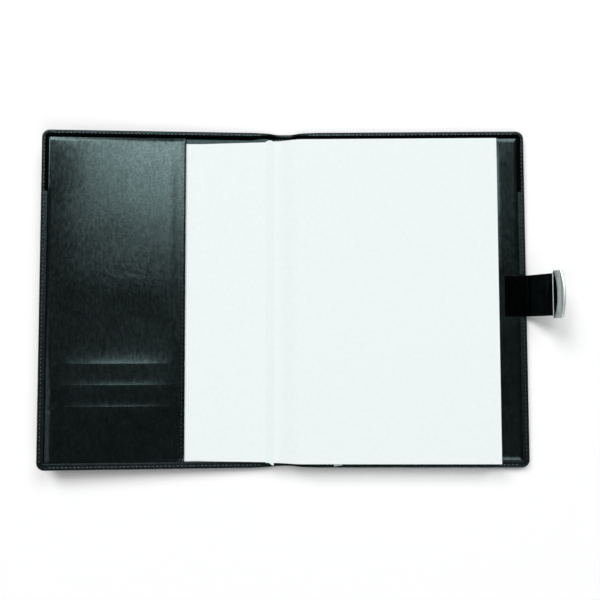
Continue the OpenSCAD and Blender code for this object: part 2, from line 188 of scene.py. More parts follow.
class Canvas:
    """A node material in the making, drawn on Object coordinates."""

    def __init__(self, name: str) -> None:
        """Starts a material.

        Args:
            name: its name.
        """
        self.material = bpy.data.materials.new(name)
        self.material.use_nodes = True
        self.tree = self.material.node_tree
        self.shader = self.tree.nodes["Principled BSDF"]
        self.place = self.add("TexCoord", "Object")

    def feed(self, node: Any, inputs: dict[str, Any]) -> None:
        """Sets a node's inputs, or links those that are given a socket.

        Args:
            node: the node.
            inputs: an input's name, or its number as text, to a value or an output socket.
        """
        for key, value in inputs.items():
            socket = node.inputs[int(key) if key.isdigit() else key]
            if isinstance(value, bpy.types.NodeSocket):
                self.tree.links.new(value, socket)
            else:
                socket.default_value = value

    def add(self, kind: str, output: str, inputs: dict[str, Any] | None = None, **settings: Any) -> Any:
        """Adds a shader node.

        Args:
            kind: its type name after ShaderNode.
            output: the output that is wanted.
            inputs: what its inputs take.
            settings: attributes to set on it.

        Returns:
            The output's socket.
        """
        node = self.tree.nodes.new(f"ShaderNode{kind}")
        for key, value in settings.items():
            setattr(node, key, value)
        self.feed(node, inputs or {})
        return node.outputs[output]

    def done(self, inputs: dict[str, Any]) -> bpy.types.Material:
        """Feeds the shader and gives the finished material."""
        self.feed(self.shader, inputs)
        return self.material

    def cloud(self, size_mm: float, detail: float, **extra: float) -> Any:
        """Adds cloudy noise with features of a size and a number of octaves, and gives its socket."""
        inputs = {"Vector": self.place, "Scale": per_mm(size_mm), "Detail": detail, **extra}
        return self.add("TexNoise", "Fac", inputs)

    def streaks(self, sizes_mm: Sequence[float], detail: float) -> Any:
        """Adds noise that is drawn out along an axis.

        Args:
            sizes_mm: size of its features along x, y and z.
            detail: number of its octaves.

        Returns:
            Its value's socket.
        """
        scale = [per_mm(size) for size in sizes_mm]
        stretch = self.add("Mapping", "Vector", {"Vector": self.place, "Scale": scale})
        return self.add("TexNoise", "Fac", {"Vector": stretch, "Scale": 1.0, "Detail": detail})

    def math(self, operation: str, *values: Any) -> Any:
        """Adds a sum of one or two terms, and gives its socket."""
        return self.add("Math", "Value", {str(i): v for i, v in enumerate(values)}, operation=operation)

    def rescale(
        self, value: Any, source: Sequence[float], target: Sequence[float], **settings: Any
    ) -> Any:
        """Maps a value from one range to another.

        Args:
            value: its socket.
            source: the range that it has.
            target: the range that it gets.
            settings: attributes to set on the node.

        Returns:
            The new value's socket.
        """
        names = ("From Min", "From Max", "To Min", "To Max")
        inputs = {"Value": value, **dict(zip(names, (*source, *target)))}
        return self.add("MapRange", "Result", inputs, **settings)

    def ramp(self, factor: Any, stops: Sequence[float], finish: "Finish") -> Any:
        """Adds a ramp from a finish's dark tone to its light one.

        Args:
            factor: the socket that drives the ramp.
            stops: places of the dark and the light tone.
            finish: the finish.

        Returns:
            The colour's socket.
        """
        colour = self.add("ValToRGB", "Color", {"Fac": factor})
        tones = (finish.dark, finish.light)
        for stop, position, tone in zip(colour.node.color_ramp.elements, stops, tones):
            stop.position, stop.color = position, linear(tone)
        return colour

    def bump(self, height: Any, strength: float, depth_mm: float, below: Any = None) -> Any:
        """Adds one relief.

        Args:
            height: the socket of the relief's height.
            strength: its strength.
            depth_mm: its depth, below 0 where high values lie deep.
            below: the normal of the relief that it lies on.

        Returns:
            The normal's socket.
        """
        inputs = {"Height": height, "Strength": strength, "Distance": abs(depth_mm) * MM}
        if below is not None:
            inputs["Normal"] = below
        return self.add("Bump", "Normal", inputs, invert=depth_mm < 0)


@dataclass(frozen=True)
class Finish:
    """A finish with a dark and a light tone."""

    name: str
    dark: str
    light: str

    def material(self) -> bpy.types.Material:
        """Draws the finish, which each kind does in its own way."""
        raise NotImplementedError


@dataclass(frozen=True)
class Leatherette(Finish):
    """Embossed leatherette: a dark skin whose soft gloss is broken by grain, streaks and fine creases.

    The depths of grain, streaks, creases and puckers are in millimetres.
    """

    rough: float
    grain: float
    streak: float
    crease: float
    pucker: float
    mottle: float = 0.05
    level: float = 0.5
    wear: float = 0.3
    grain_mm: float = 0.8
    streak_mm: tuple[float, float, float] = (2.0, 5.0, 2.0)
    crease_mm: float = 15.0
    crease_width: float = 0.06
    pucker_mm: float = 26.0
    strength: float = 0.8
    stops: tuple[float, float] = (0.3, 0.75)
    octaves: float = 3.0
    streak_octaves: float = 4.0
    distortion: float = 0.8
    noise_pair: tuple[float, float] = (0.75, 1.25)
    ior: float = 1.52
    tint: str = "#d8ffff"

    def material(self) -> bpy.types.Material:
        """Draws the skin, whose reliefs lie over each other and whose worn tops break up the gloss.

        Returns:
            The material.
        """
        canvas = Canvas(self.name)
        grain = {"Vector": canvas.place, "Scale": per_mm(self.grain_mm)}
        pebble = canvas.add("TexVoronoi", "Distance", grain, feature="SMOOTH_F1")
        streaks = canvas.streaks(self.streak_mm, self.streak_octaves)
        cloud = canvas.cloud(self.pucker_mm, self.octaves)
        fine = canvas.cloud(2 * self.grain_mm, self.octaves)
        reliefs = ((pebble, -self.grain), (streaks, self.streak), (self.creases(canvas), -self.crease))
        normal = None
        for height, depth_mm in (*reliefs, (cloud, self.pucker)):
            normal = canvas.bump(height, self.strength, depth_mm, normal)
        rough = (self.rough - self.mottle, self.rough + self.mottle)
        level = (self.level * (1 - self.wear), self.level * (1 + self.wear))
        scuffs, tops = canvas.math("ADD", streaks, cloud), canvas.math("ADD", fine, streaks)
        return canvas.done({
            "Base Color": canvas.ramp(cloud, self.stops, self),
            "Roughness": canvas.rescale(scuffs, self.noise_pair, rough),
            "Specular IOR Level": canvas.rescale(tops, self.noise_pair, level),
            "Specular Tint": linear(self.tint),
            "IOR": self.ior,
            "Normal": normal,
        })

    def creases(self, canvas: Canvas) -> Any:
        """Adds the fine crease lines, which follow the level lines of a cloudy field.

        Args:
            canvas: the material to draw on.

        Returns:
            A socket that is 1 in a crease and 0 beside it.
        """
        cloud = canvas.cloud(self.crease_mm, self.octaves, Distortion=self.distortion)
        gap = canvas.math("ABSOLUTE", canvas.math("SUBTRACT", cloud, 0.5))
        width = (0.0, self.crease_width)
        return canvas.rescale(gap, width, (1.0, 0.0), interpolation_type="SMOOTHSTEP")


@dataclass(frozen=True)
class Paper(Finish):
    """Uncoated writing paper: matt white with a faint cloudy formation, and leaf lines on cut edges."""

    formation_mm: float = 3.0
    leaf_mm: float = 0.0
    leaf_length_mm: float = 900.0
    leaf_depth: float = 0.12
    leaf_octaves: float = 2.0
    depth: float = 0.02
    octaves: float = 4.0
    strength: float = 0.5
    stops: tuple[float, float] = (0.35, 0.6)
    rough: float = 0.75
    level: float = 0.25

    def material(self) -> bpy.types.Material:
        """Draws the paper; leaf lines are drawn wider than real leaves so that they show.

        Returns:
            The material.
        """
        canvas = Canvas(self.name)
        if self.leaf_mm:
            sizes_mm = (self.leaf_length_mm, self.leaf_length_mm, self.leaf_mm)
            height, depth_mm = canvas.streaks(sizes_mm, self.leaf_octaves), self.leaf_depth
        else:
            height, depth_mm = canvas.cloud(self.formation_mm, self.octaves), self.depth
        return canvas.done({
            "Base Color": canvas.ramp(height, self.stops, self),
            "Normal": canvas.bump(height, self.strength, depth_mm),
            "Roughness": self.rough,
            "Specular IOR Level": self.level,
        })


@dataclass(frozen=True)
class Cloth(Finish):
    """Plain-woven cloth: two crossed thread waves give a fine matt tooth."""

    thread_mm: float
    rough: float = 0.8
    waves_per_unit: float = 20
    distortion: float = 0.4
    strength: float = 0.6
    depth: float = 0.08
    stops: tuple[float, float] = (0.1, 0.8)

    def material(self) -> bpy.types.Material:
        """Draws the weave.

        Returns:
            The material.
        """
        canvas = Canvas(self.name)
        scale = per_mm(self.thread_mm) / self.waves_per_unit
        wave = {"Vector": canvas.place, "Scale": scale, "Distortion": self.distortion}
        threads = [canvas.add("TexWave", "Fac", wave, bands_direction=axis) for axis in "XY"]
        weave = canvas.math("MULTIPLY", *threads)
        return canvas.done({
            "Base Color": canvas.ramp(weave, self.stops, self),
            "Normal": canvas.bump(weave, self.strength, self.depth),
            "Roughness": self.rough,
        })


@dataclass(frozen=True)
class Metal(Finish):
    """Plated or rolled metal: bright, with faint rolling lines along its length."""

    rough: float
    line_mm: tuple[float, float, float] = (0.25, 14.0, 0.25)
    octaves: float = 3.0
    spread: tuple[float, float] = (0.8, 1.25)
    stops: tuple[float, float] = (0.35, 0.65)

    def material(self) -> bpy.types.Material:
        """Draws the rolled face.

        Returns:
            The material.
        """
        canvas = Canvas(self.name)
        lines = canvas.streaks(self.line_mm, self.octaves)
        rough = [self.rough * share for share in self.spread]
        return canvas.done({
            "Base Color": canvas.ramp(lines, self.stops, self),
            "Roughness": canvas.rescale(lines, (0.0, 1.0), rough),
            "Metallic": 1.0,
        })


@dataclass(frozen=True)
class Board(Finish):
    """Pressed greyboard or foam: matt with mixed fibres or cells."""

    fleck_mm: float
    octaves: float = 5.0
    strength: float = 0.5
    depth: float = 0.1
    stops: tuple[float, float] = (0.35, 0.65)
    rough: float = 0.9

    def material(self) -> bpy.types.Material:
        """Draws the flecks.

        Returns:
            The material.
        """
        canvas = Canvas(self.name)
        fleck = canvas.cloud(self.fleck_mm, self.octaves)
        return canvas.done({
            "Base Color": canvas.ramp(fleck, self.stops, self),
            "Normal": canvas.bump(fleck, self.strength, self.depth),
            "Roughness": self.rough,
        })


class Finishes:
    """The planner's finishes, each built once and handed out by its name."""

    ALL: dict[str, Finish] = {
        "band_skin": Leatherette(
            "glossy_leatherette_band", "#020303", "#050606",
            rough=0.24, grain=0.004, streak=0.006, crease=0.003, pucker=0.1, level=0.3,
        ),
        "cover_skin": Leatherette(
            "satin_leatherette_cover", "#060809", "#0b0f10",
            rough=0.36, grain=0.01, streak=0.008, crease=0.006, pucker=0.1, mottle=0.04, level=0.22,
        ),
        "pocket_skin": Leatherette(
            "satin_leatherette_pocket", "#050808", "#090d0e",
            rough=0.22, grain=0.0062, streak=0.0044, crease=0.004, pucker=0.024, mottle=0.025,
        ),
        "strap_skin": Leatherette(
            "glossy_leatherette_strap", "#010101", "#020202",
            rough=0.2, grain=0.003, streak=0.006, crease=0.0, pucker=0.1, level=0.06,
        ),
        "riser_skin": Leatherette(
            "glossy_leatherette_riser", "#010101", "#010101",
            rough=0.13, grain=0.002, streak=0.006, crease=0.0, pucker=0.5, level=0.14,
        ),
        # painted shade: a nearly black, barely reflecting copy of the band's leather for its turned-in lip
        "band_lip_painted_shade": Leatherette(
            "leatherette_lip_painted_shade", "#010101", "#020202",
            rough=0.4, grain=0.003, streak=0.0, crease=0.0, pucker=0.0, level=0.01,
        ),
        "lining_cloth": Leatherette(
            "coated_lining_cloth", "#0a0e0e", "#121819",
            rough=0.36, grain=0.006, streak=0.01, crease=0.0, pucker=0.08, level=0.4,
        ),
        "padding": Board("open_cell_foam", "#2b2d2e", "#47494b", 0.8),
        "greyboard": Board("pressed_greyboard", "#7c7566", "#99917f", 1.2),
        "thread": Cloth("twisted_polyester_thread", "#343f41", "#6c7b7e", 0.35, 0.5),
        "mouth_thread": Cloth("waxed_polyester_thread", "#141a1b", "#333d3f", 0.35, 0.5),
        "page_paper": Paper("uncoated_page", "#ecf3f3", "#eef5f5"),
        "tape_paper": Paper("gummed_hinge_tape", "#e7f1f0", "#e9f3f2"),
        "page_edges": Paper("cut_page_edges", "#cfd6d6", "#eef4f4", leaf_mm=0.35),
        "sheet_card": Paper("white_card", "#e8efef", "#edf4f4", 2.0),
        "ribbon_cloth": Cloth("satin_ribbon", "#cfd8d8", "#e8efef", 0.3, 0.45),
        "clip_metal": Metal("polished_chrome_clip", "#e0eaea", "#f2f8f8", 0.36),
        "magnet_metal": Metal("nickelled_magnet", "#4c5052", "#666b6d", 0.35),
        "plate_steel": Metal("rolled_steel_plate", "#96999b", "#b2b5b6", 0.4),
    }
    VARIANTS = {"page_edges": "page_paper", "tape_paper": "page_paper", "mouth_thread": "thread"}

    def __init__(self) -> None:
        """Starts with no material built."""
        self.built: dict[str, bpy.types.Material] = {}

    def get(self, name: str) -> bpy.types.Material:
        """Gives a finish's material, which is drawn at its first use.

        Args:
            name: the finish's name.

        Returns:
            The material.
        """
        if name not in self.built:
            self.built[name] = self.ALL[name].material()
        return self.built[name]


@dataclass
class Workshop:
    """Turns finished bmeshes, in millimetres, into named pieces of the planner."""

    finishes: Finishes = field(default_factory=Finishes)
    made: list[str] = field(default_factory=list)

    def piece(self, name: str, bm: Mesh, finish: str, wall_mm: float = 0.0) -> Piece:
        """Makes an object at the origin.

        Args:
            name: the piece's name.
            bm: its mesh in millimetres, which is freed. A closed one that was mirrored is turned back.
            finish: its finish, which is a slot or a variant of one.
            wall_mm: thickness to give an open sheet, inwards from its face.

        Returns:
            The new object.
        """
        if not wall_mm and bm.calc_volume(signed=True) < 0:
            bmesh.ops.reverse_faces(bm, faces=bm.faces)
        bmesh.ops.scale(bm, vec=(MM, MM, MM), verts=bm.verts)
        for face in bm.faces:
            face.smooth = True
        bm.edges.index_update()
        rims = [e.index for e in bm.edges if e.is_boundary]
        mesh = bpy.data.meshes.new(name)
        bm.to_mesh(mesh)
        bm.free()
        mesh.set_sharp_from_angle(angle=SHARP_ANGLE)
        for index in rims:
            mesh.edges[index].use_edge_sharp = True
        obj = bpy.data.objects.new(name, mesh)
        bpy.context.scene.collection.objects.link(obj)
        mesh.materials.append(self.finishes.get(finish))
        if wall_mm:
            wall = obj.modifiers.new("wall", "SOLIDIFY")
            wall.thickness = wall_mm * MM
            wall.offset = -1.0
        Finishes.VARIANTS.get(finish, finish)
        self.made.append(name)
        LOG.info("piece %s: %d faces", name, len(mesh.polygons))
        return obj

    def dress_node(self, frame: dict[str, Any], node: str, finish: str) -> None:
        """Gives a CAD node that stays its finish.

        Args:
            frame: the loaded frame.
            node: the node's name.
            finish: the finish's name.
        """
        obj = frame["nodes"][node]
        obj.data.materials.clear()
        obj.data.materials.append(self.finishes.get(finish))


def turned(point: Vector, axis: Vector, angle: float) -> Vector:
    """Turns a point about a line along y.

    Args:
        point: the point.
        axis: a point of the line.
        angle: the angle, above 0 where what lies left of the line rises.

    Returns:
        The turned point.
    """
    dx, dz = point.x - axis.x, point.z - axis.z
    x = axis.x + dx * math.cos(angle) + dz * math.sin(angle)
    z = axis.z - dx * math.sin(angle) + dz * math.cos(angle)
    return Vector((x, point.y, z))


def move(bm: Mesh, place: Place) -> Mesh:
    """Moves every vertex by a map.

    Args:
        bm: the mesh.
        place: the map.

    Returns:
        The same mesh.
    """
    for vert in bm.verts:
        vert.co = place(vert.co)
    return bm


def face_up(bm: Mesh) -> Mesh:
    """Turns the faces of an open sheet so that they look up on the whole.

    Args:
        bm: the mesh of the sheet.

    Returns:
        The same mesh.
    """
    bm.normal_update()
    if sum(f.normal.z * f.calc_area() for f in bm.faces) < 0:
        bmesh.ops.reverse_faces(bm, faces=bm.faces)
    return bm


def cut(bm: Mesh, axis: Axis, places: Iterable[float], keep: Keep = Keep.BOTH) -> None:
    """Cuts a mesh by planes across an axis.

    Args:
        bm: the mesh.
        axis: the axis.
        places: where the planes lie on it.
        keep: what is left of the mesh.
    """
    clear = keep is not Keep.BOTH
    for place in places:
        point, normal = Vector(), Vector()
        point[axis.value], normal[axis.value] = place, -keep.value or 1
        geom = bm.verts[:] + bm.edges[:] + bm.faces[:]
        bmesh.ops.bisect_plane(
            bm, geom=geom, dist=SNAP, plane_co=point, plane_no=normal, clear_outer=clear
        )


def only(geom: Iterable[Any], kind: type) -> list[Any]:
    """Picks the elements of one kind from what a mesh operator gives back."""
    return [g for g in geom if isinstance(g, kind)]


def ring_of(bm: Mesh, spots: Sequence[Vector]) -> list[Vert]:
    """Makes one filled face through the given points.

    Args:
        bm: the empty mesh that takes it.
        spots: its corners in order.

    Returns:
        The face's vertices in the same order.
    """
    ring = bmesh.ops.create_circle(bm, segments=len(spots), radius=1.0, cap_ends=True)["verts"]
    for vert, spot in zip(ring, spots):
        vert.co = spot
    return ring


def strip(size: Sequence[float], cells: tuple[int, int]) -> Mesh:
    """Makes a flat grid.

    Args:
        size: lowest x, highest x, lowest y and highest y.
        cells: number of cells along x and y.

    Returns:
        The mesh, at height 0.
    """
    bm = bmesh.new()
    bmesh.ops.create_grid(bm, x_segments=cells[0], y_segments=cells[1], size=0.5)
    bmesh.ops.translate(bm, vec=(0.5, 0.5, 0), verts=bm.verts)
    bmesh.ops.scale(bm, vec=(size[1] - size[0], size[3] - size[2], 1), verts=bm.verts)
    bmesh.ops.translate(bm, vec=(size[0], size[2], 0), verts=bm.verts)
    return bm


@dataclass
class CoverFrame:
    """Sizes of the flat cover and the folds that bring flat pieces to their rest pose."""

    crease_back: Vector
    crease_front: Vector
    root: Vector
    gutter: Vector
    seam_y: float
    cover_l: float = 171.0
    half_h: float = 127.0
    edge_z: float = 5.75
    lip_z: float = 5.05
    spine_edge_z: float = 1.8
    corner_r: float = 6.0
    lift: float = math.radians(4.5)
    soft: float = 4.0
    strap_slope: float = math.radians(54.0)
    strap_soft: float = 2.5
    hem_run: tuple[float, float] = (-8.0, 10.0)
    press_x: float = 40.0

    @classmethod
    def from_joints(cls, frame: dict[str, Any]) -> "CoverFrame":
        """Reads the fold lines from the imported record, and the band's seam from the lower skin.

        Args:
            frame: the loaded frame.

        Returns:
            The cover's frame.
        """
        joints = {j["name"]: j for j in frame["record"]["behaviour"]["joints"]}
        names = ("spine_fold", "front_cover_fold", "strap_fold", "leaf_turn")
        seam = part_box("back_skin_lower")[1].y / MM
        return cls(*[Vector(joints[n]["pos_m"]) / MM for n in names], seam)

    @property
    def middle(self) -> float:
        """Middle of the spine."""
        return (self.crease_back.x + self.crease_front.x) / 2

    @property
    def half_spine(self) -> float:
        """Half of the distance between the creases."""
        return (self.crease_back.x - self.crease_front.x) / 2

    def past_crease(self, x: float) -> float:
        """Distance of a place on the flat cover beyond the nearer crease, below 0 on the spine."""
        return max(x - self.crease_back.x, self.crease_front.x - x)

    def edge_height(self, x: float) -> float:
        """Height of the hem at a place across the flat cover."""
        return mix(self.spine_edge_z, self.edge_z, smooth(self.past_crease(x), *self.hem_run))

    def fold(self, point: Vector) -> Vector:
        """Brings a point of the flat cover to the rest pose, with the front cover lifted."""
        share = smooth(self.crease_front.x - point.x, -self.soft, 2 * self.soft)
        return turned(point, self.crease_front, self.lift * share)

    def raise_strap(self, point: Vector) -> Vector:
        """Brings a point of the flat strap to its slope at rest."""
        share = smooth(point.x - self.root.x, -self.strap_soft, 2 * self.strap_soft)
        return turned(point, self.root, -self.strap_slope * share)

    def on_cover(self, side: Side) -> Place:
        """Gives the map from a cover's own measures to the rest pose.

        Args:
            side: front or back.

        Returns:
            A function of a point measured from the crease.
        """
        if side is Side.BACK:
            return lambda p: Vector((self.crease_back.x + p.x, p.y, p.z))
        return lambda p: self.fold(Vector((self.crease_front.x - p.x, p.y, p.z)))

    def lay(self, bm: Mesh, side: Side) -> Mesh:
        """Brings a sheet drawn in a cover's own measures to the rest pose, face up."""
        return face_up(move(bm, self.on_cover(side)))

    def bend(self, obj: Piece, side: Side) -> None:
        """Lets a piece of the spine bend at the crease that it lies across.

        Args:
            obj: the piece.
            side: the cover that the crease belongs to.
        """
        crease, out = (self.crease_back, 1) if side is Side.BACK else (self.crease_front, -1)
        outer, inner = (Vector((crease.x + s * self.soft, 0, crease.z)) * MM for s in (out, -out))
        if side is Side.BACK:
            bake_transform(obj, "back_cover", "spine", outer, inner)
        else:
            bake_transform(obj, "spine", "front_cover", inner, outer)

    def press(self, obj: Piece, base: float, keep: float) -> None:
        """Gives a soft piece of the front cover its own copy of its mesh.

        Args:
            obj: the piece, which already rides the front cover.
            base: a height on the cover, at which a place on it is worked out.
            keep: share of its height above the base that is left; it is not used.
        """
        place = self.on_cover(Side.FRONT)
        low, high, at = (place(Vector((self.press_x, 0, z))) for z in (0, 10, base))
        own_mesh(obj)


@dataclass
class SubAssembly:
    """A sub-assembly of the planner, made in a workshop on the cover's frame."""

    shop: Workshop
    frame: CoverFrame


@dataclass
class CoverWrap(SubAssembly):
    """The outer skin: one sheet wrapped round both covers and the spine, and turned in as a hem.

    The hem's section is made of pairs of inset and share of the hem's height, and shade_from is
    the pair at which its lip with painted shade starts.
    """

    strap_mid: float
    strap_half: float = 15.9
    strap_cuts: tuple[float, ...] = (-17.0, -16.2, -15.6, 15.6, 16.2, 17.0)
    strap_from: float = 150.0
    wall: float = 0.45
    roll: float = 2.0
    roll_steps: int = 12
    square: float = 0.667
    dip: float = 0.9
    dip_run: tuple[float, float] = (-12.0, 30.0)
    spine_hem: float = 0.64
    hem_zone: float = 12.0
    narrow_run: tuple[float, float] = (3.0, 14.0)
    seat_share: float = 0.8
    seat_gap: float = 0.08
    shade_from: tuple[float, float] = (2.8, 0.7)
    spine_cuts: tuple[float, ...] = (3.0, 5.5)
    crease_cuts: tuple[float, ...] = (*range(-4, 7), 8, 10, 14)
    seam_cuts: tuple[float, ...] = (1.2, 0.5)
    seam_pinch: float = 0.07
    least_r: float = 0.6
    arc_steps: int = 8
    under: tuple[tuple[float, float], ...] = ((9.0, 0.0), (4.0, 0.0))
    lip: tuple[tuple[float, float], ...] = (
        (2.2, 0.99), (2.35, 0.962), (2.68, 0.962), (2.85, 0.985), (3.4, 0.98), (4.0, 0.974),
        (4.6, 0.966), (5.0, 0.955), (5.25, 0.935), (5.42, 0.89), (5.5, 0.8),
    )

    def section(self) -> list[tuple[float, float]]:
        """Lays out the hem's section, from the underside round the edge to the turned-in lip.

        Returns:
            The pairs in order.
        """
        roll = []
        for i in range(self.roll_steps + 1):
            turn = math.pi * (i / self.roll_steps - 0.5)
            up = math.copysign(abs(math.sin(turn)) ** self.square, turn)
            roll.append((self.roll * (1 - max(0.0, math.cos(turn)) ** self.square), 0.5 + 0.5 * up))
        return [*self.under, *roll, *self.lip]

    def outline(self, inset: float) -> list[Vector]:
        """Points of the flat cover's outline, set in.

        Args:
            inset: distance from the edge.

        Returns:
            The points in order round the outline.
        """
        f = self.frame
        radius = max(f.corner_r - inset, self.least_r)
        half_w = f.cover_l + f.half_spine - inset - radius
        half_h = f.half_h - inset - radius
        points = []
        for quarter, (sx, sy) in enumerate(((1, 1), (-1, 1), (-1, -1), (1, -1))):
            for i in range(self.arc_steps + 1):
                a = QUARTER_TURN * (quarter + i / self.arc_steps)
                x = f.middle + sx * half_w + radius * math.cos(a)
                points.append(Vector((x, sy * half_h + radius * math.sin(a), 0)))
        return points

    def soft_lines(self) -> list[float]:
        """Places of the cuts that let the spine bend, measured from its middle."""
        half = self.frame.half_spine
        return [*self.spine_cuts, *(half + step for step in self.crease_cuts)]

    def sheet(self) -> Mesh:
        """Makes the whole flat wrap by extruding its outline along the hem's section.

        Returns:
            The mesh of the flat wrap.
        """
        f = self.frame
        (first, _), *section = self.section()
        bm = bmesh.new()
        shares = bm.verts.layers.float.new("share")
        insets = bm.verts.layers.float.new("inset")
        ring = ring_of(bm, self.outline(first))
        loop = [e for e in bm.edges if e.is_boundary]
        for inset, share in section:
            out = bmesh.ops.extrude_edge_only(bm, edges=loop)["geom"]
            loop = only(out, bmesh.types.BMEdge)
            order = {}
            for vert in only(out, Vert):
                others = (e.other_vert(vert) for e in vert.link_edges)
                order[vert] = ring.index(next(v for v in others if v in ring))
            ring = sorted(order, key=lambda v: order[v])
            for vert, spot in zip(ring, self.outline(inset)):
                vert.co = spot
                vert[shares], vert[insets] = share, inset
        cut(bm, Axis.X, [f.middle + s * v for s in (-1, 1) for v in self.soft_lines()] + [f.middle])
        cut(bm, Axis.Y, [self.strap_mid + y for y in self.strap_cuts])
        shares = bm.verts.layers.float["share"]
        for vert in bm.verts:
            self.shape(vert, vert[shares])
        bmesh.ops.recalc_face_normals(bm, faces=bm.faces)
        bm.normal_update()
        lowest = min(bm.faces, key=lambda g: g.calc_center_median().z - g.calc_area())
        if lowest.normal.z > 0:
            bmesh.ops.reverse_faces(bm, faces=bm.faces)
        return bm

    def shape(self, vert: Vert, share: float) -> None:
        """Gives a vertex its height, with the dip at the spine and the seat under the strap.

        Args:
            vert: the vertex.
            share: share of the hem's height.
        """
        f = self.frame
        height = f.edge_height(vert.co.x)
        out = f.past_crease(vert.co.x)
        edge = f.half_h - abs(vert.co.y)
        if edge < self.hem_zone:
            narrow = mix(self.spine_hem, 1.0, smooth(out, *self.narrow_run))
            vert.co.y = math.copysign(f.half_h - edge * narrow, vert.co.y)
        vert.co.y *= 1 - self.dip / f.half_h * (1 - smooth(out, *self.dip_run))
        vert.co.z = share * height
        over = vert.co.x > f.crease_back.x + self.strap_from
        if over and abs(vert.co.y - self.strap_mid) < self.strap_half and share > self.seat_share:
            vert.co.z = min(vert.co.z, f.lip_z - self.seat_gap)

    def build(self) -> None:
        """Cuts the wrap into its pieces and lets each ride or bend."""
        middle = self.frame.middle
        limit = self.frame.half_spine + self.frame.soft
        parts = {
            Stretch.BACK: (middle + limit, FAR),
            Stretch.SPINE_BACK: (middle, middle + limit),
            Stretch.SPINE_FRONT: (middle - limit, middle),
            Stretch.FRONT: (-FAR, middle - limit),
        }
        for part, ends in parts.items():
            for band in Band:
                self.cut_part(part, ends, band)

    def cut_part(self, part: Stretch, ends: tuple[float, float], band: Band) -> None:
        """Makes one piece of the wrap.

        Args:
            part: the length across the cover.
            ends: its lowest and highest x on the flat cover.
            band: above or below the seam.
        """
        f = self.frame
        upper = band is Band.UPPER
        up, keep = (1, Keep.ABOVE) if upper else (-1, Keep.BELOW)
        bm = self.sheet()
        cut(bm, Axis.X, ends[:1], Keep.ABOVE)
        cut(bm, Axis.X, ends[1:], Keep.BELOW)
        cut(bm, Axis.Y, [f.seam_y + up * step for step in self.seam_cuts])
        cut(bm, Axis.Y, [f.seam_y], keep)
        for vert in bm.verts:
            if abs(vert.co.y - f.seam_y) < NEAR:
                vert.co.z += (f.edge_height(vert.co.x) / 2 - vert.co.z) * self.seam_pinch
        if upper:
            self.shade_lip(bm)
        slot = "band_skin" if upper else "cover_skin"
        obj = self.shop.piece(f"wrap_{part.value}_{band.value}", move(bm, f.fold), slot, self.wall)
        if upper:
            # painted shade: the lip's faces take this nearly black finish as a second material
            obj.data.materials.append(self.shop.finishes.get("band_lip_painted_shade"))
        if part is Stretch.SPINE_BACK:
            f.bend(obj, Side.BACK)
            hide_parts(f"spine_skin_{band.value}")
        elif part is Stretch.SPINE_FRONT:
            f.bend(obj, Side.FRONT)
        else:
            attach(obj, f"{part.value}_cover")
            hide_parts(f"{part.value}_skin_{band.value}")

    def shade_lip(self, bm: Mesh) -> None:
        """Marks the glossy band's turned-in lip, which lies in its own shade, for painted shade.

        Args:
            bm: the mesh of one piece of the wrap.
        """
        insets = bm.verts.layers.float["inset"]
        shares = bm.verts.layers.float["share"]
        inset, share = self.shade_from
        for face in bm.faces:
            shaded = all(v[insets] > inset and v[shares] > share for v in face.verts)
            face.material_index = int(shaded)


@dataclass
class SpineLining(SubAssembly):
    """The thin lining of the spine, which climbs to the boards' lining at both creases."""

    low_z: float = 1.15
    high_z: float = 3.22
    reach: float = 2.0
    margin: float = 3.0
    climb_run: tuple[float, float] = (-1.2, 2.6)
    cells: tuple[int, int] = (54, 1)
    wall: float = 0.3

    def build(self) -> None:
        """Makes the two halves and lets each bend at its crease."""
        f = self.frame
        half, end = f.half_spine, f.half_h - self.margin
        for side, sign in ((Side.BACK, 1), (Side.FRONT, -1)):
            bm = strip((0, half + self.reach, -end, end), self.cells)
            for vert in bm.verts:
                rise = smooth(vert.co.x - half, *self.climb_run)
                vert.co.z = mix(self.low_z, self.high_z, rise)
                vert.co.x = f.middle + sign * vert.co.x
            bm = face_up(move(bm, f.fold))
            obj = self.shop.piece(f"spine_lining_{side.value}", bm, "lining_cloth", self.wall)
            f.bend(obj, side)
            if side is Side.BACK:
                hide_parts("spine_lining")


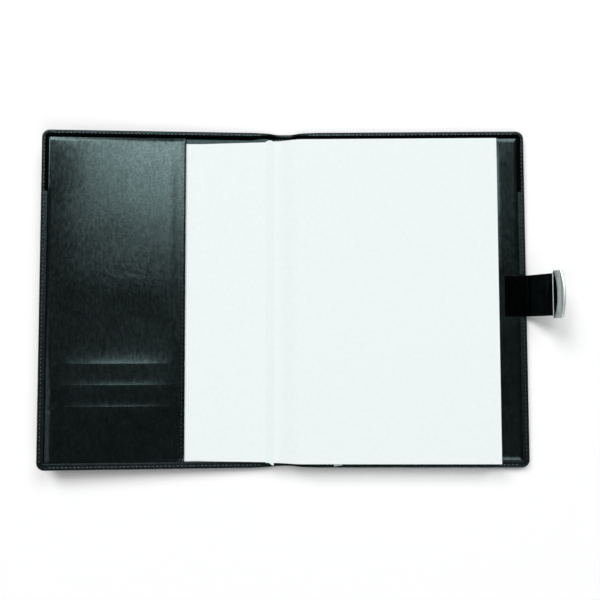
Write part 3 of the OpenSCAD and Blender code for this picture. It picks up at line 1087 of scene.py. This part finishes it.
@dataclass
class SoftLayers(SubAssembly):
    """The layers inside a cover: the thin foam under the skin and the cloth lining on the board."""

    side: Side
    strap_mid: float
    inset: float = 3.0
    foam_from: float = 1.5
    foam_z: tuple[float, float] = (0.72, 1.46)
    foam_rim: float = 6.0
    foam_cells: tuple[int, int] = (56, 82)
    rim_share: float = 0.55
    pits: float = 0.05
    pit_waves: tuple[float, float, float] = (5.0, 5.0, 2.2)
    lining_from: float = 0.5
    lining_z: float = 3.24
    lining_wall: float = 0.15
    lining_cells: tuple[int, int] = (70, 100)
    sag: float = 0.06
    sag_waves: tuple[float, float, float] = (18.0, 25.0, 6.1)
    keeper: tuple[float, float, float] = (160.8, 169.2, 12.2)

    def build(self) -> None:
        """Makes the foam and the lining and lets them ride their cover."""
        self.build_foam()
        self.build_lining()

    def build_foam(self) -> None:
        """Makes the foam sheet, pressed thin along its rim and cut out round the keeper plate."""
        f = self.frame
        low, high = self.foam_z
        far, end = f.cover_l - self.inset, f.half_h - self.inset
        bm = strip((self.foam_from, far, -end, end), self.foam_cells)
        if self.side is Side.FRONT:
            x0, x1, half = self.keeper
            cut(bm, Axis.X, (x0, x1))
            cut(bm, Axis.Y, (self.strap_mid - half, self.strap_mid + half))
            spots = [(g, g.calc_center_median()) for g in bm.faces]
            room = [g for g, c in spots if x0 < c.x < x1 and abs(c.y - self.strap_mid) < half]
            bmesh.ops.delete(bm, geom=room, context="FACES")
        face_up(bm)
        top = bmesh.ops.extrude_face_region(bm, geom=bm.faces[:], use_keep_orig=True)["geom"]
        for vert in only(top, Vert):
            x, y = vert.co.x, vert.co.y
            rim = min(x - self.foam_from, far - x, end - abs(y))
            pit = self.pits * ripple(x, y, self.pit_waves)
            thick = (high - low) * mix(self.rim_share, 1.0, smooth(rim, 0.0, self.foam_rim))
            vert.co.z = thick - abs(pit)
        bmesh.ops.translate(bm, vec=(0, 0, low), verts=bm.verts)
        bmesh.ops.recalc_face_normals(bm, faces=bm.faces)
        name = self.side.value
        obj = self.shop.piece(f"{name}_foam_sheet", move(bm, f.on_cover(self.side)), "padding")
        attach(obj, f"{name}_cover")
        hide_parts(f"{name}_foam")

    def build_lining(self) -> None:
        """Makes the lining sheet, with the faint waves of glued cloth."""
        f = self.frame
        far, end = f.cover_l - self.inset, f.half_h - self.inset
        bm = strip((self.lining_from, far, -end, end), self.lining_cells)
        for vert in bm.verts:
            vert.co.z = self.lining_z - self.sag * abs(ripple(vert.co.x, vert.co.y, self.sag_waves))
        name = self.side.value
        bm = f.lay(bm, self.side)
        obj = self.shop.piece(f"{name}_lining_sheet", bm, "lining_cloth", self.lining_wall)
        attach(obj, f"{name}_cover")
        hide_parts(f"{name}_lining")


@dataclass
class CardSleeves(SubAssembly):
    """The cloth sleeves behind the card slits, each hung from the lower lip of its slit."""

    slits: tuple[float, ...]
    ends: tuple[float, float] = (69.9, 160.9)
    length: float = 37.8
    below: float = 0.4
    levels: tuple[float, ...] = (3.86, 4.05, 4.24)
    lip_z: float = 4.4
    lip_run: tuple[float, float] = (-3.4, 3.0)
    cells: tuple[int, int] = (48, 60)
    wall: float = 0.1

    def build(self) -> None:
        """Makes the sleeves and lets them ride the front cover."""
        for n, (slit, level) in enumerate(zip(self.slits, self.levels), 1):
            top = slit - self.below
            bm = strip((*self.ends, top - self.length, top), self.cells)
            for vert in bm.verts:
                vert.co.z = mix(level, self.lip_z, smooth(vert.co.y - slit, *self.lip_run))
            bm = self.frame.lay(bm, Side.FRONT)
            obj = self.shop.piece(f"card_sleeve_sheet_{n}", bm, "lining_cloth", self.wall)
            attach(obj, "front_cover")
            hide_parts(f"card_sleeve_{n}")


@dataclass
class PocketPanel(SubAssembly):
    """A pocket's panel: a soft, slightly puffed sheet sewn in under the hem on three sides.

    Only the front panel has slits, and with them the wrinkles and the open lips. The pairs of
    lip_lifts and lower_lip are a height and how far it fades, and those of bead_at, wrinkle_x and
    wrinkle_y the middle and the width of a bell.
    """

    side: Side
    strap_mid: float
    slits: tuple[float, ...] = ()
    mouth: float = 63.5
    seam_in: float = 2.2
    inset: float = 2.8
    tuck: float = 5.0
    slit_ends: tuple[float, float] = (71.4, 159.4)
    slit_cuts: tuple[float, ...] = (-1.2, -0.5, 0.0, 0.5)
    mouth_cut: float = 0.3
    rim_cuts: tuple[float, ...] = (4.9, 5.2, 5.5, 5.75, 6.0, 6.3, 6.6)
    lip_lifts: tuple[tuple[float, float], ...] = ((1.05, 8.1), (0.63, 4.6), (0.36, 2.4))
    lip_power: float = 0.4
    lower_lip: tuple[float, float] = (0.12, 3.0)
    pucker: float = 0.1
    pucker_at: tuple[float, float] = (1.5, -2.5)
    pucker_size: float = 7.0
    top_z: float = 5.05
    rim_w: tuple[float, float] = (3.0, 5.4)
    rim_drop: tuple[float, float] = (0.5, 0.64)
    low_run: tuple[float, float] = (40.0, 32.0)
    end_fade: float = 3.0
    band_fade: float = 1.5
    band_run: tuple[float, float] = (4.9, 0.6)
    bead: float = 0.1
    bead_at: tuple[float, float] = (5.75, 0.4)
    puff: float = 1.15
    fade: float = 9.0
    mouth_puff: float = 0.38
    mouth_run: tuple[float, float] = (2.8, 11.0)
    mouth_drop: float = 0.5
    mouth_edge: float = 0.7
    seam_drop: float = 0.16
    seam_w: float = 0.7
    card_puff: float = 0.12
    card_top: float = 14.0
    card_fade: float = 58.0
    card_power: float = 0.8
    back_puff: float = 0.3
    strap_run: tuple[float, float] = (14.0, 8.0)
    side_run: tuple[float, float] = (148.0, 5.0)
    wave: float = 0.16
    front_waves: tuple[float, float, float] = (34.0, 42.0, 3.7)
    back_waves: tuple[float, float, float] = (34.0, 42.0, 8.1)
    wrinkle: float = 0.05
    wrinkle_waves: tuple[float, float, float] = (12.0, 3.3, 4.4)
    wrinkle_slant: float = 0.35
    wrinkle_sharp: tuple[float, float] = (3.2, 1.5)
    wrinkle_x: tuple[float, float] = (106.0, 30.0)
    wrinkle_y: tuple[float, float] = (11.0, 16.0)
    flat_z: float = 4.45
    flat_keep: float = 0.3
    wall: float = 0.45
    cells: tuple[int, int] = (104, 240)

    def height(self, x: float, y: float) -> float:
        """Height of the panel's face.

        Args:
            x: distance from the crease.
            y: height on the cover.

        Returns:
            The face's height above the cover's underside.
        """
        f = self.frame
        side, end = f.cover_l - x, f.half_h - abs(y)
        into = x - self.mouth
        proud = smooth(y, f.seam_y, self.band_fade) if self.slits else 0.0
        low = smooth(-y, *self.low_run) if self.slits else 0.0
        ends = smooth(end, self.tuck, self.end_fade)
        rim = smooth(side, self.tuck, mix(*self.rim_w, low))
        rim = mix(rim, smooth(side, *self.band_run), proud)
        z = self.top_z - mix(*self.rim_drop, low) * (1 - rim * ends)
        z += self.bead * proud * bell(side, *self.bead_at) * ends
        puffed = mix(self.mouth_puff, 1.0, smooth(into, *self.mouth_run))
        for room in (side, end):
            puffed *= 1 - math.exp(-max(0.0, room - self.tuck) / self.fade)
        if self.side is Side.BACK:
            beside = smooth(abs(y - self.strap_mid), *self.strap_run)
            puffed *= self.back_puff * beside * smooth(x, *self.side_run)
        else:
            over = min(1.0, max(0.0, self.card_top - y) / self.card_fade) ** self.card_power
            puffed *= mix(1.0, self.card_puff, smooth(over))
        wave = ripple(x, y, self.front_waves if self.slits else self.back_waves)
        z += puffed * (self.puff + self.wave * wave + self.wrinkles(x, y))
        z -= self.seam_drop * bell(into, self.seam_in, self.seam_w)
        return z - self.mouth_drop * (1 - smooth(into, 0.0, self.mouth_edge))

    def wrinkles(self, x: float, y: float) -> float:
        """Height of the slanting wrinkles where the front panel bends over the top of the card sleeves.

        Args:
            x: distance from the crease.
            y: height on the cover.

        Returns:
            The height to add.
        """
        if not self.slits:
            return 0.0
        wave = ripple(x, y - self.wrinkle_slant * x, self.wrinkle_waves)
        steep, power = self.wrinkle_sharp
        line = max(0.0, 1 - steep * abs(wave)) ** power
        return self.wrinkle * bell(y, *self.wrinkle_y) * bell(x, *self.wrinkle_x) * line

    def lips(self, x: float, y: float, above: bool) -> float:
        """Extra height beside the slits, whose upper lips stand open, and in the puckers at their ends.

        Args:
            x: distance from the crease.
            y: height on the cover.
            above: whether the spot belongs to the sheet above a slit that it lies on.

        Returns:
            The height to add.
        """
        a, b = self.slit_ends
        along = math.sin(math.pi * min(1.0, max(0.0, (x - a) / (b - a)))) ** self.lip_power
        sink, sink_fade = self.lower_lip
        right, up = self.pucker_at
        extra = 0.0
        for n, (slit, (lift, fade)) in enumerate(zip(self.slits, self.lip_lifts), 1):
            gap = y - slit
            if gap > TOUCH or (abs(gap) <= TOUCH and above):
                extra += lift * math.exp(-gap / fade) * along
            else:
                extra -= sink * math.exp(gap / sink_fade) * along
            away = (x - b - right) ** 2 + (gap - up) ** 2
            extra += self.pucker * n * math.exp(-away / self.pucker_size)
        return extra

    def build(self) -> None:
        """Makes the panel, with its slits cut, and lets it ride its cover."""
        f = self.frame
        far, end = f.cover_l - self.inset, f.half_h - self.inset
        bm = strip((self.mouth, far, -end, end), self.cells)
        cut(bm, Axis.Y, [slit + step for slit in self.slits for step in self.slit_cuts])
        cut(bm, Axis.X, [self.mouth + self.mouth_cut] + [f.cover_l - d for d in self.rim_cuts])
        a, b = self.slit_ends
        for slit in self.slits:
            on_slit = {v for v in bm.verts if abs(v.co.y - slit) < TOUCH and a <= v.co.x <= b}
            edges = [e for e in bm.edges if on_slit.issuperset(e.verts)]
            bmesh.ops.split_edges(bm, edges=edges)
        for vert in bm.verts:
            x, y = vert.co.x, vert.co.y
            above = sum(g.calc_center_median().y for g in vert.link_faces) / len(vert.link_faces) > y
            vert.co.z = self.height(x, y) + self.lips(x, y, above)
        name = self.side.value
        obj = self.shop.piece(f"{name}_pocket_sheet", f.lay(bm, self.side), "pocket_skin", self.wall)
        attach(obj, f"{name}_cover")
        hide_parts(f"{name}_pocket_panel")
        if self.side is Side.FRONT:
            f.press(obj, self.flat_z, self.flat_keep)


@dataclass
class Stitching(SubAssembly):
    """Rows of lock stitches: one rounded thread end after another along the hems and pocket mouths."""

    side: Side
    panel: PocketPanel
    inset: float = 2.52
    pitch: float = 3.0
    sunk: float = 0.14
    proud: float = 0.12
    end_gap: float = 8.0
    corner_gap: float = 7.0
    strap_gap: float = 17.5
    thread: tuple[float, float, float] = (1.05, 0.27, 0.2)

    def add(self, bm: Mesh, spot: Sequence[float], turn: float) -> None:
        """Adds one stitch.

        Args:
            bm: the mesh that takes it.
            spot: its middle, in the cover's own measures.
            turn: its direction, in radians from the crease's normal.
        """
        size = Matrix.Diagonal((*self.thread, 1.0))
        place = Matrix.Translation(spot) @ Matrix.Rotation(turn, 4, "Z") @ size
        bmesh.ops.create_icosphere(bm, subdivisions=1, radius=1.0, matrix=place)

    def row(self, clear: float) -> list[float]:
        """Gives the places of a row up the cover that stays clear of its ends by a distance."""
        count = int((self.frame.half_h - clear) / self.pitch)
        return [i * self.pitch for i in range(-count, count + 1)]

    def build(self) -> None:
        """Makes the hem's rows and the mouth's row and lets them ride their cover."""
        f, panel, name = self.frame, self.panel, self.side.value
        on_cover = f.on_cover(self.side)
        hem, mouth = bmesh.new(), bmesh.new()
        z = f.edge_z - self.sunk
        for i in range(int((f.cover_l - 2 * self.end_gap) / self.pitch) + 1):
            for sign in (-1, 1):
                spot = (self.end_gap + self.pitch * i, sign * (f.half_h - self.inset), z)
                self.add(hem, spot, 0.0)
        for y in self.row(self.corner_gap):
            if self.side is Side.FRONT or abs(y - panel.strap_mid) > self.strap_gap:
                self.add(hem, (f.cover_l - self.inset, y, z), QUARTER_TURN)
        obj = self.shop.piece(f"{name}_hem_stitches", move(hem, on_cover), "thread")
        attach(obj, f"{name}_cover")
        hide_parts(f"{name}_edge_stitching")
        x = panel.mouth + panel.seam_in
        for y in self.row(self.end_gap):
            self.add(mouth, (x, y, panel.height(x, y) + self.proud), QUARTER_TURN)
        obj = self.shop.piece(f"{name}_mouth_stitches", move(mouth, on_cover), "mouth_thread")
        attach(obj, f"{name}_cover")
        if self.side is Side.FRONT:
            f.press(obj, panel.flat_z, panel.flat_keep)
        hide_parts(f"{name}_pocket_stitching")


@dataclass
class Refill(SubAssembly):
    """The notebook: endpaper, gutter strip, turning leaf and ribbon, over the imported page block.

    Fields whose names begin with end_ belong to the endpaper.
    """

    page_w: float = 166.0
    half_h: float = 120.0
    block_top: float = 17.65
    valley: float = 12.15
    run: float = 22.0
    mouth: float = 63.5
    leaf_rise: float = 0.32
    leaf_wall: float = 0.2
    leaf_wave: float = 0.1
    leaf_run: tuple[float, float] = (30.0, 60.0)
    leaf_waves: tuple[float, float, float] = (60.0, 80.0, 1.3)
    leaf_base: float = 0.7
    leaf_cells: tuple[int, int] = (110, 24)
    end_trim: float = 0.5
    end_wall: float = 0.25
    end_path: tuple[tuple[float, float], ...] = ((3.0, 3.62), (-12.0, 3.9))
    end_lap: tuple[float, float] = (0.4, 0.06)
    end_bend: float = 0.2
    end_run: tuple[float, float] = (0.1, 0.9)
    end_soft: float = 0.6
    end_curve: float = 0.35
    end_wave: float = 0.25
    end_waves: tuple[float, float, float] = (0.5, 70.0, 5.5)
    end_press: tuple[float, float] = (3.4, 0.1)
    end_cells: tuple[int, int] = (64, 16)
    tape: float = 6.0
    tape_wall: float = 0.15
    tape_gap: float = 0.02
    tape_sunk: float = 0.03
    tape_base: float = 0.3
    tape_end: float = 0.5
    tape_cells: tuple[int, int] = (10, 60)
    head_bump: float = 0.9
    head_runs: tuple[tuple[float, float], ...] = ((0.05, 0.3), (0.0, 0.35))
    tail_bump: float = 1.8
    tail_run: tuple[float, float] = (0.35, 0.55)
    ribbon_w: float = 6.0
    ribbon_wall: float = 0.25
    ribbon_ends: tuple[tuple[float, float], ...] = ((8.0, 119.0), (47.5, -122.6))
    ribbon_z: float = 10.85
    ribbon_power: float = 1.6
    ribbon_drop: float = 0.35
    ribbon_cells: tuple[int, int] = (90, 6)
    ribbon_curl: tuple[float, float] = (0.05, 1.4)
    squash_keep: float = 0.05
    middle: float = 0.0

    def surface(self, out: float) -> float:
        """Height of the pages at a distance from the gutter."""
        share = min(1.0, max(0.0, out / self.run))
        return mix(self.valley, self.block_top, 0.5 - 0.5 * math.cos(math.pi * share))

    def build(self) -> None:
        """Makes the notebook's sheets and its ribbon."""
        low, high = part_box("page_block_lower")
        self.middle = (low.y + high.y) / 2 / MM
        self.build_leaf()
        self.build_endpaper()
        self.build_gutter()
        self.build_ribbon()

    def settle(self, bm: Mesh) -> Mesh:
        """Brings a sheet drawn about the cover's middle to the notebook's middle, face up."""
        bmesh.ops.translate(bm, vec=(0, self.middle, 0), verts=bm.verts)
        return face_up(bm)

    def build_leaf(self) -> None:
        """Makes the first leaf, which follows the pages' curve into the gutter."""
        gutter = self.frame.gutter
        edges = (gutter.x, gutter.x + self.page_w, -self.half_h, self.half_h)
        bm = strip(edges, self.leaf_cells)
        for vert in bm.verts:
            out = vert.co.x - gutter.x
            wave = ripple(out, vert.co.y, self.leaf_waves)
            wave *= self.leaf_wave * smooth(out, *self.leaf_run)
            vert.co.z = self.surface(out) + self.leaf_rise + abs(wave)
        obj = self.shop.piece("first_leaf_sheet", self.settle(bm), "page_paper", self.leaf_wall)
        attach(obj, "leaf")
        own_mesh(obj)
        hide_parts("first_leaf")

    def build_endpaper(self) -> None:
        """Makes the sheet that leaves the front pocket and rises to the gutter."""
        f = self.frame
        on_front = f.on_cover(Side.FRONT)
        start, bend = (on_front(Vector((self.mouth + into, 0, z))) for into, z in self.end_path)
        lap, drop = self.end_lap
        end = Vector((f.gutter.x - self.tape + lap, 0, self.valley - drop))
        half = self.half_h - self.end_trim
        bm = strip((0, 1, -half, half), self.end_cells)
        for vert in bm.verts:
            t, y = vert.co.x, vert.co.y
            if t < self.end_bend:
                flat = start.lerp(bend, t / self.end_bend)
            else:
                flat = bend.lerp(end, (t - self.end_bend) / (1 - self.end_bend))
            share = smooth(t, *self.end_run) * self.end_soft + (1 - self.end_soft) * t
            hump = math.sin(math.pi * t)
            wave = self.end_wave * hump * ripple(t, y, self.end_waves)
            z = mix(flat.z, mix(start.z, end.z, share), self.end_curve * hump)
            vert.co = Vector((flat.x, y, z + wave))
        obj = self.shop.piece("endpaper_sheet", self.settle(bm), "page_paper", self.end_wall)
        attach(obj, "front_cover")
        f.press(obj, *self.end_press)
        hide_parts("front_endpaper")

    def build_gutter(self) -> None:
        """Makes the strip that joins the endpaper to the block, with its ends at head and tail."""
        x1 = self.frame.gutter.x - self.tape_gap
        x0 = x1 - self.tape
        rise, fall = self.head_runs
        bm = strip((x0, x1, -self.half_h, self.half_h), self.tape_cells)
        for vert in bm.verts:
            share = (vert.co.x - x0) / self.tape
            if vert.co.y > self.half_h - self.tape_end:
                vert.co.y += self.head_bump * smooth(share, *rise) * smooth(1 - share, *fall)
            if vert.co.y < self.tape_end - self.half_h:
                vert.co.y -= self.tail_bump * smooth(share, *self.tail_run)
            vert.co.z = mix(self.valley - self.tape_sunk, self.valley + self.leaf_rise, share)
        obj = self.shop.piece("gutter_strip", self.settle(bm), "tape_paper", self.tape_wall)
        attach(obj, "notebook")
        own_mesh(obj)
        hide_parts("hinge_tape")

    def build_ribbon(self) -> None:
        """Makes the ribbon, which lies among the pages and shows a curled tail below them."""
        left = self.frame.gutter.x
        head, tail = (Vector((left + out, y, self.ribbon_z)) for out, y in self.ribbon_ends)
        path = tail - head
        across = Vector((-path.y, path.x, 0)).normalized()
        curl, rate = self.ribbon_curl
        bm = strip((0, 1, -self.ribbon_w / 2, self.ribbon_w / 2), self.ribbon_cells)
        for vert in bm.verts:
            t, side = 1 - (1 - vert.co.x) ** self.ribbon_power, vert.co.y
            spot = head + path * t + across * side
            out = max(0.0, -self.half_h - spot.y)
            spot.z -= self.ribbon_drop * out + curl * math.sin(side * rate) * min(out, 1.0)
            vert.co = spot
        obj = self.shop.piece("ribbon_band", self.settle(bm), "ribbon_cloth", self.ribbon_wall)
        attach(obj, "notebook")
        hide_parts("ribbon_marker")


@dataclass
class Strap(SubAssembly):
    """The closing strap: sewn base, folding root and riser, and the tab under its chrome clip.

    The clip's section is made of pairs of distance along the strap and height above its middle,
    and shine_from holds the limits of a polished face's normal along x and z.
    """

    width: float = 31.0
    thick: float = 1.6
    base_thick: float = 0.66
    edge_r: float = 0.55
    base: float = 17.5
    riser: float = 20.25
    half_riser: float = 10.0
    tab: float = 9.0
    step: float = 0.5
    slim_run: tuple[float, float] = (-1.0, 3.5)
    tip_soft: tuple[float, float] = (-4.0, 1.0)
    shine_from: tuple[float, float] = (-0.5, 0.2)
    clip_from: float = 1.2
    clip_l: float = 10.35
    clip_half: float = 17.4
    clip_r: float = 2.0
    # where along the clip its groove gets the black strap skin: painted shade of the slot
    slot: tuple[float, float] = (0.72, 3.95)
    slot_rim: tuple[float, float] = (3.8, 4.3)
    slot_bow: float = 2.9
    face_from: float = 4.5
    face_bow: float = 2.6
    end_thin: float = 0.55
    clip_under: float = 1.3
    clip_cuts: tuple[float, ...] = (0.15, 0.4, 0.8, 1.3, 2.0, 4.0, 6.5, 9.5, 13.0)
    clip_top: tuple[tuple[float, float], ...] = (
        (0, 0.85), (0.06, 1.1), (0.2, 1.25), (0.45, 1.25), (0.62, 1.12), (0.7, 0.9), (3.9, 0.86),
        (4.0, 1.0), (4.2, 1.1), (5.0, 1.17), (6.2, 1.26), (7.6, 1.35), (8.8, 1.34), (9.5, 1.05),
        (10.0, 0.65),
    )
    rivet: tuple[float, float, float] = (6.0, 13.4, 1.25)
    rivet_size: tuple[float, float, float] = (1.3, 1.3, 0.15)

    def build(self) -> None:
        """Makes the strap's two bending lengths, the clip and its rivets."""
        f = self.frame
        root = self.length(-self.base, self.half_riser)
        for vert in root.verts:
            run = vert.co.x - f.root.x
            slim = mix(self.base_thick / self.thick, 1.0, smooth(run, *self.slim_run))
            vert.co.z = f.root.z + (vert.co.z - f.root.z) * slim
        obj = self.shine(self.shop.piece("strap_root", move(root, f.raise_strap), "strap_skin"))
        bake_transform(obj, "back_cover", "strap", self.at(-f.strap_soft), self.at(f.strap_soft))
        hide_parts("strap_base", "strap_riser_face", "strap_riser_lining")
        bend = self.length(self.half_riser, self.riser + self.tab)
        obj = self.shine(self.shop.piece("strap_bend", move(bend, f.raise_strap), "strap_skin"))
        low, high = (self.at(self.riser + s) for s in self.tip_soft)
        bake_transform(obj, "strap", "strap_tip", low, high)
        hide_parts("strap_tab_face", "strap_tab_lining")
        self.build_clip()
        self.build_rivets()

    def at(self, run: float) -> Vector:
        """Place at rest of a point along the middle of the strap, in metres."""
        return self.frame.raise_strap(self.frame.root + Vector((run, 0, 0))) * MM

    def shine(self, obj: Piece) -> Piece:
        """Gives the riser's sloping face, which is polished by handling, a gloss of its own.

        Args:
            obj: a length of the strap at its rest pose.

        Returns:
            The same object.
        """
        obj.data.materials.append(self.shop.finishes.get("riser_skin"))
        x, z = self.shine_from
        for face in obj.data.polygons:
            face.material_index = int(face.normal.x < x and face.normal.z > z)
        return obj

    def length(self, start: float, end: float) -> Mesh:
        """Makes a flat length of the strap with rounded edges, and the cuts that let it bend.

        Args:
            start: its start along the strap, from the root.
            end: its end.

        Returns:
            The mesh, lying flat at the root's height.
        """
        root = self.frame.root
        bm = bmesh.new()
        bmesh.ops.create_cube(bm, size=1.0)
        bmesh.ops.scale(bm, vec=(end - start, self.width, self.thick), verts=bm.verts)
        bmesh.ops.translate(bm, vec=root + Vector(((start + end) / 2, 0, 0)), verts=bm.verts)
        edges = [e for e in bm.edges if abs(e.verts[0].co.x - e.verts[1].co.x) > 1]
        bmesh.ops.bevel(
            bm, geom=edges, offset=self.edge_r, offset_type="OFFSET", segments=4, profile=0.5,
            affect="EDGES", material=-1,
        )
        count = int((end - start) / self.step)
        cut(bm, Axis.X, [root.x + start + i * self.step for i in range(1, count)])
        return bm

    def build_clip(self) -> None:
        """Makes the chrome clip from its rolled section, with painted shade in the slot beside the strap."""
        root = self.frame.root
        at = root.x + self.riser + self.clip_from
        back = [(s, -min(h, self.clip_under)) for s, h in reversed(self.clip_top)]
        section = (*self.clip_top, (self.clip_l, 0.0), *back)
        bm = bmesh.new()
        ring_of(bm, [Vector((at + s, root.y - self.clip_half, root.z + h)) for s, h in section])
        out = bmesh.ops.extrude_face_region(bm, geom=bm.faces[:], use_keep_orig=True)["geom"]
        moved = only(out, Vert)
        bmesh.ops.translate(bm, vec=(0, 2 * self.clip_half, 0), verts=moved)
        bmesh.ops.recalc_face_normals(bm, faces=bm.faces)
        for sign in (-1, 1):
            cut(bm, Axis.Y, [root.y + sign * (self.clip_half - d) for d in self.clip_cuts])
        # painted shade: the groove's upward faces take the black strap skin, standing for the dark inside of
        # the slot, the black strap within and the shade in it
        for face in bm.faces:
            along = face.calc_center_median().x - at
            face.material_index = int(self.slot[0] < along < self.slot[1] and face.normal.z > 0.5)
        for vert in bm.verts:
            self.bow(vert, at)
        obj = self.shop.piece("clip_shell", move(bm, self.frame.raise_strap), "clip_metal")
        # second material for the groove's painted shade
        obj.data.materials.append(self.shop.finishes.get("strap_skin"))
        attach(obj, "strap_tip")
        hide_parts("metal_tip")

    def bow(self, vert: Vert, at: float) -> None:
        """Rounds the clip's corners and bows its outer edge and its slot.

        Args:
            vert: a vertex of the straight clip.
            at: where the clip starts.
        """
        root = self.frame.root
        turn = at + self.clip_l - self.clip_r
        off = vert.co.y - root.y
        over = max(0.0, abs(off) - (self.clip_half - self.clip_r)) / self.clip_r
        if vert.co.x > turn:
            vert.co.x = turn + (vert.co.x - turn) * math.sqrt(max(0.0, 1 - over * over))
        bow = (off / self.clip_half) ** 2
        past = max(0.0, vert.co.x - at - self.face_from)
        vert.co.x -= self.face_bow * bow * past / (self.clip_l - self.face_from)
        if self.slot_rim[0] < vert.co.x - at < self.slot_rim[1]:
            vert.co.x -= self.slot_bow * bow
        thin = mix(self.end_thin, 1.0, math.sqrt(max(0.0, 1 - over**4)))
        vert.co.z = root.z + (vert.co.z - root.z) * thin

    def build_rivets(self) -> None:
        """Makes the heads of the two rivets, on both faces of the tab."""
        along, side, up = self.rivet
        heads = bmesh.new()
        for sign in (-1, 1):
            for face in (-1, 1):
                spot = self.frame.root + Vector((self.riser + along, sign * side, face * up))
                shape = Matrix.Translation(spot) @ Matrix.Diagonal((*self.rivet_size, 1.0))
                bmesh.ops.create_uvsphere(heads, u_segments=20, v_segments=10, radius=1.0, matrix=shape)
        obj = self.shop.piece("clip_rivets", move(heads, self.frame.raise_strap), "clip_metal")
        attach(obj, "strap_tip")
        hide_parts("tip_rivets")


@dataclass
class Lamp:
    """A soft lamp far from the planner, so that it lights the table evenly."""

    name: str
    spot: tuple[float, float, float]
    size: tuple[float, float]
    share: float

    def build(self) -> None:
        """Adds the lamp; at a share of 1 it alone would show a white table as plain white."""
        light = bpy.data.lights.new(self.name, "AREA")
        light.shape = "RECTANGLE"
        light.size, light.size_y = self.size
        light.energy = self.share * math.pi**2 * Vector(self.spot).length ** 3 / self.spot[2]
        obj = bpy.data.objects.new(self.name, light)
        bpy.context.scene.collection.objects.link(obj)
        obj.location = self.spot
        obj.rotation_euler = (-Vector(self.spot)).to_track_quat("-Z", "Y").to_euler()


@dataclass
class Studio:
    """Camera, lamps and a plain white table."""

    eye: tuple[float, float, float] = (0.00805, -0.03065, 0.52985)
    turn: tuple[float, float, float] = (0.0554, 0.0135, -0.0025)
    lens_mm: float = 41.72
    sensor_mm: float = 36.0
    world: float = 0.06
    table_half: float = 3000.0
    table_z: float = -0.15
    lamps: tuple[Lamp, ...] = (
        Lamp("softbox_head", (-0.04, 2.95, 8.0), (2.7, 2.8), 0.235),
        Lamp("softbox_left", (-3.8, 5.8, 7.5), (4.4, 4.4), 0.375),
        Lamp("softbox_right", (3.6, 5.6, 7.5), (4.0, 4.0), 0.2),
        Lamp("softbox_front", (3.0, -5.2, 7.0), (4.0, 4.0), 0.14),
        Lamp("white_card_left", (-5.4, -2.6, 6.5), (4.5, 4.5), 0.055),
    )

    def build(self) -> None:
        """Builds the stage."""
        for lamp in self.lamps:
            lamp.build()
        scene = bpy.context.scene
        scene.view_settings.view_transform = "Standard"
        scene.world = bpy.data.worlds.new("white_room")
        scene.world.use_nodes = True
        background = scene.world.node_tree.nodes["Background"]
        background.inputs["Color"].default_value = linear("#f4fbfb")
        background.inputs["Strength"].default_value = self.world
        camera = bpy.data.cameras.new("camera")
        camera.lens = self.lens_mm
        camera.sensor_width = self.sensor_mm
        obj = bpy.data.objects.new("camera", camera)
        scene.collection.objects.link(obj)
        obj.location = self.eye
        obj.rotation_euler = self.turn
        scene.camera = obj
        self.build_floor()

    def build_floor(self) -> None:
        """Makes the white table top."""
        half = self.table_half
        bm = strip((-half, half, -half, half), (1, 1))
        bmesh.ops.translate(bm, vec=(0, 0, self.table_z), verts=bm.verts)
        bmesh.ops.scale(bm, vec=(MM, MM, MM), verts=bm.verts)
        mesh = bpy.data.meshes.new("floor")
        bm.to_mesh(mesh)
        bm.free()
        floor = bpy.data.objects.new("floor", mesh)
        bpy.context.scene.collection.objects.link(floor)
        white = {"Base Color": linear("#ffffff"), "Roughness": 0.9, "Specular IOR Level": 0.0}
        mesh.materials.append(Canvas("white_table").done(white))


SLITS = (-48.8, -64.6, -80.4)
KEPT_NODES = {
    "back_board": "greyboard",
    "front_board": "greyboard",
    "keeper_plate": "plate_steel",
    "strap_magnet": "magnet_metal",
    "notebook_front_cover": "sheet_card",
    "notebook_back_cover": "sheet_card",
    "notebook_spine": "sheet_card",
    "page_block_upper": "page_edges",
    "page_block_lower": "page_edges",
}


def main() -> None:
    """Builds the planner's pieces in order and the stage round them."""
    logging.basicConfig(level=logging.INFO, format="%(name)s %(message)s")
    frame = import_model()
    shop = Workshop()
    cover = CoverFrame.from_joints(frame)
    strap_mid = cover.root.y
    CoverWrap(shop, cover, strap_mid).build()
    SpineLining(shop, cover).build()
    for side in Side:
        SoftLayers(shop, cover, side, strap_mid).build()
    CardSleeves(shop, cover, SLITS).build()
    for side in Side:
        panel = PocketPanel(shop, cover, side, strap_mid, SLITS if side is Side.FRONT else ())
        panel.build()
        Stitching(shop, cover, side, panel).build()
    Refill(shop, cover).build()
    Strap(shop, cover).build()
    for node, finish in KEPT_NODES.items():
        shop.dress_node(frame, node, finish)
    Studio().build()
    LOG.info("%d pieces built", len(shop.made))


if __name__ == "__main__":
    main()
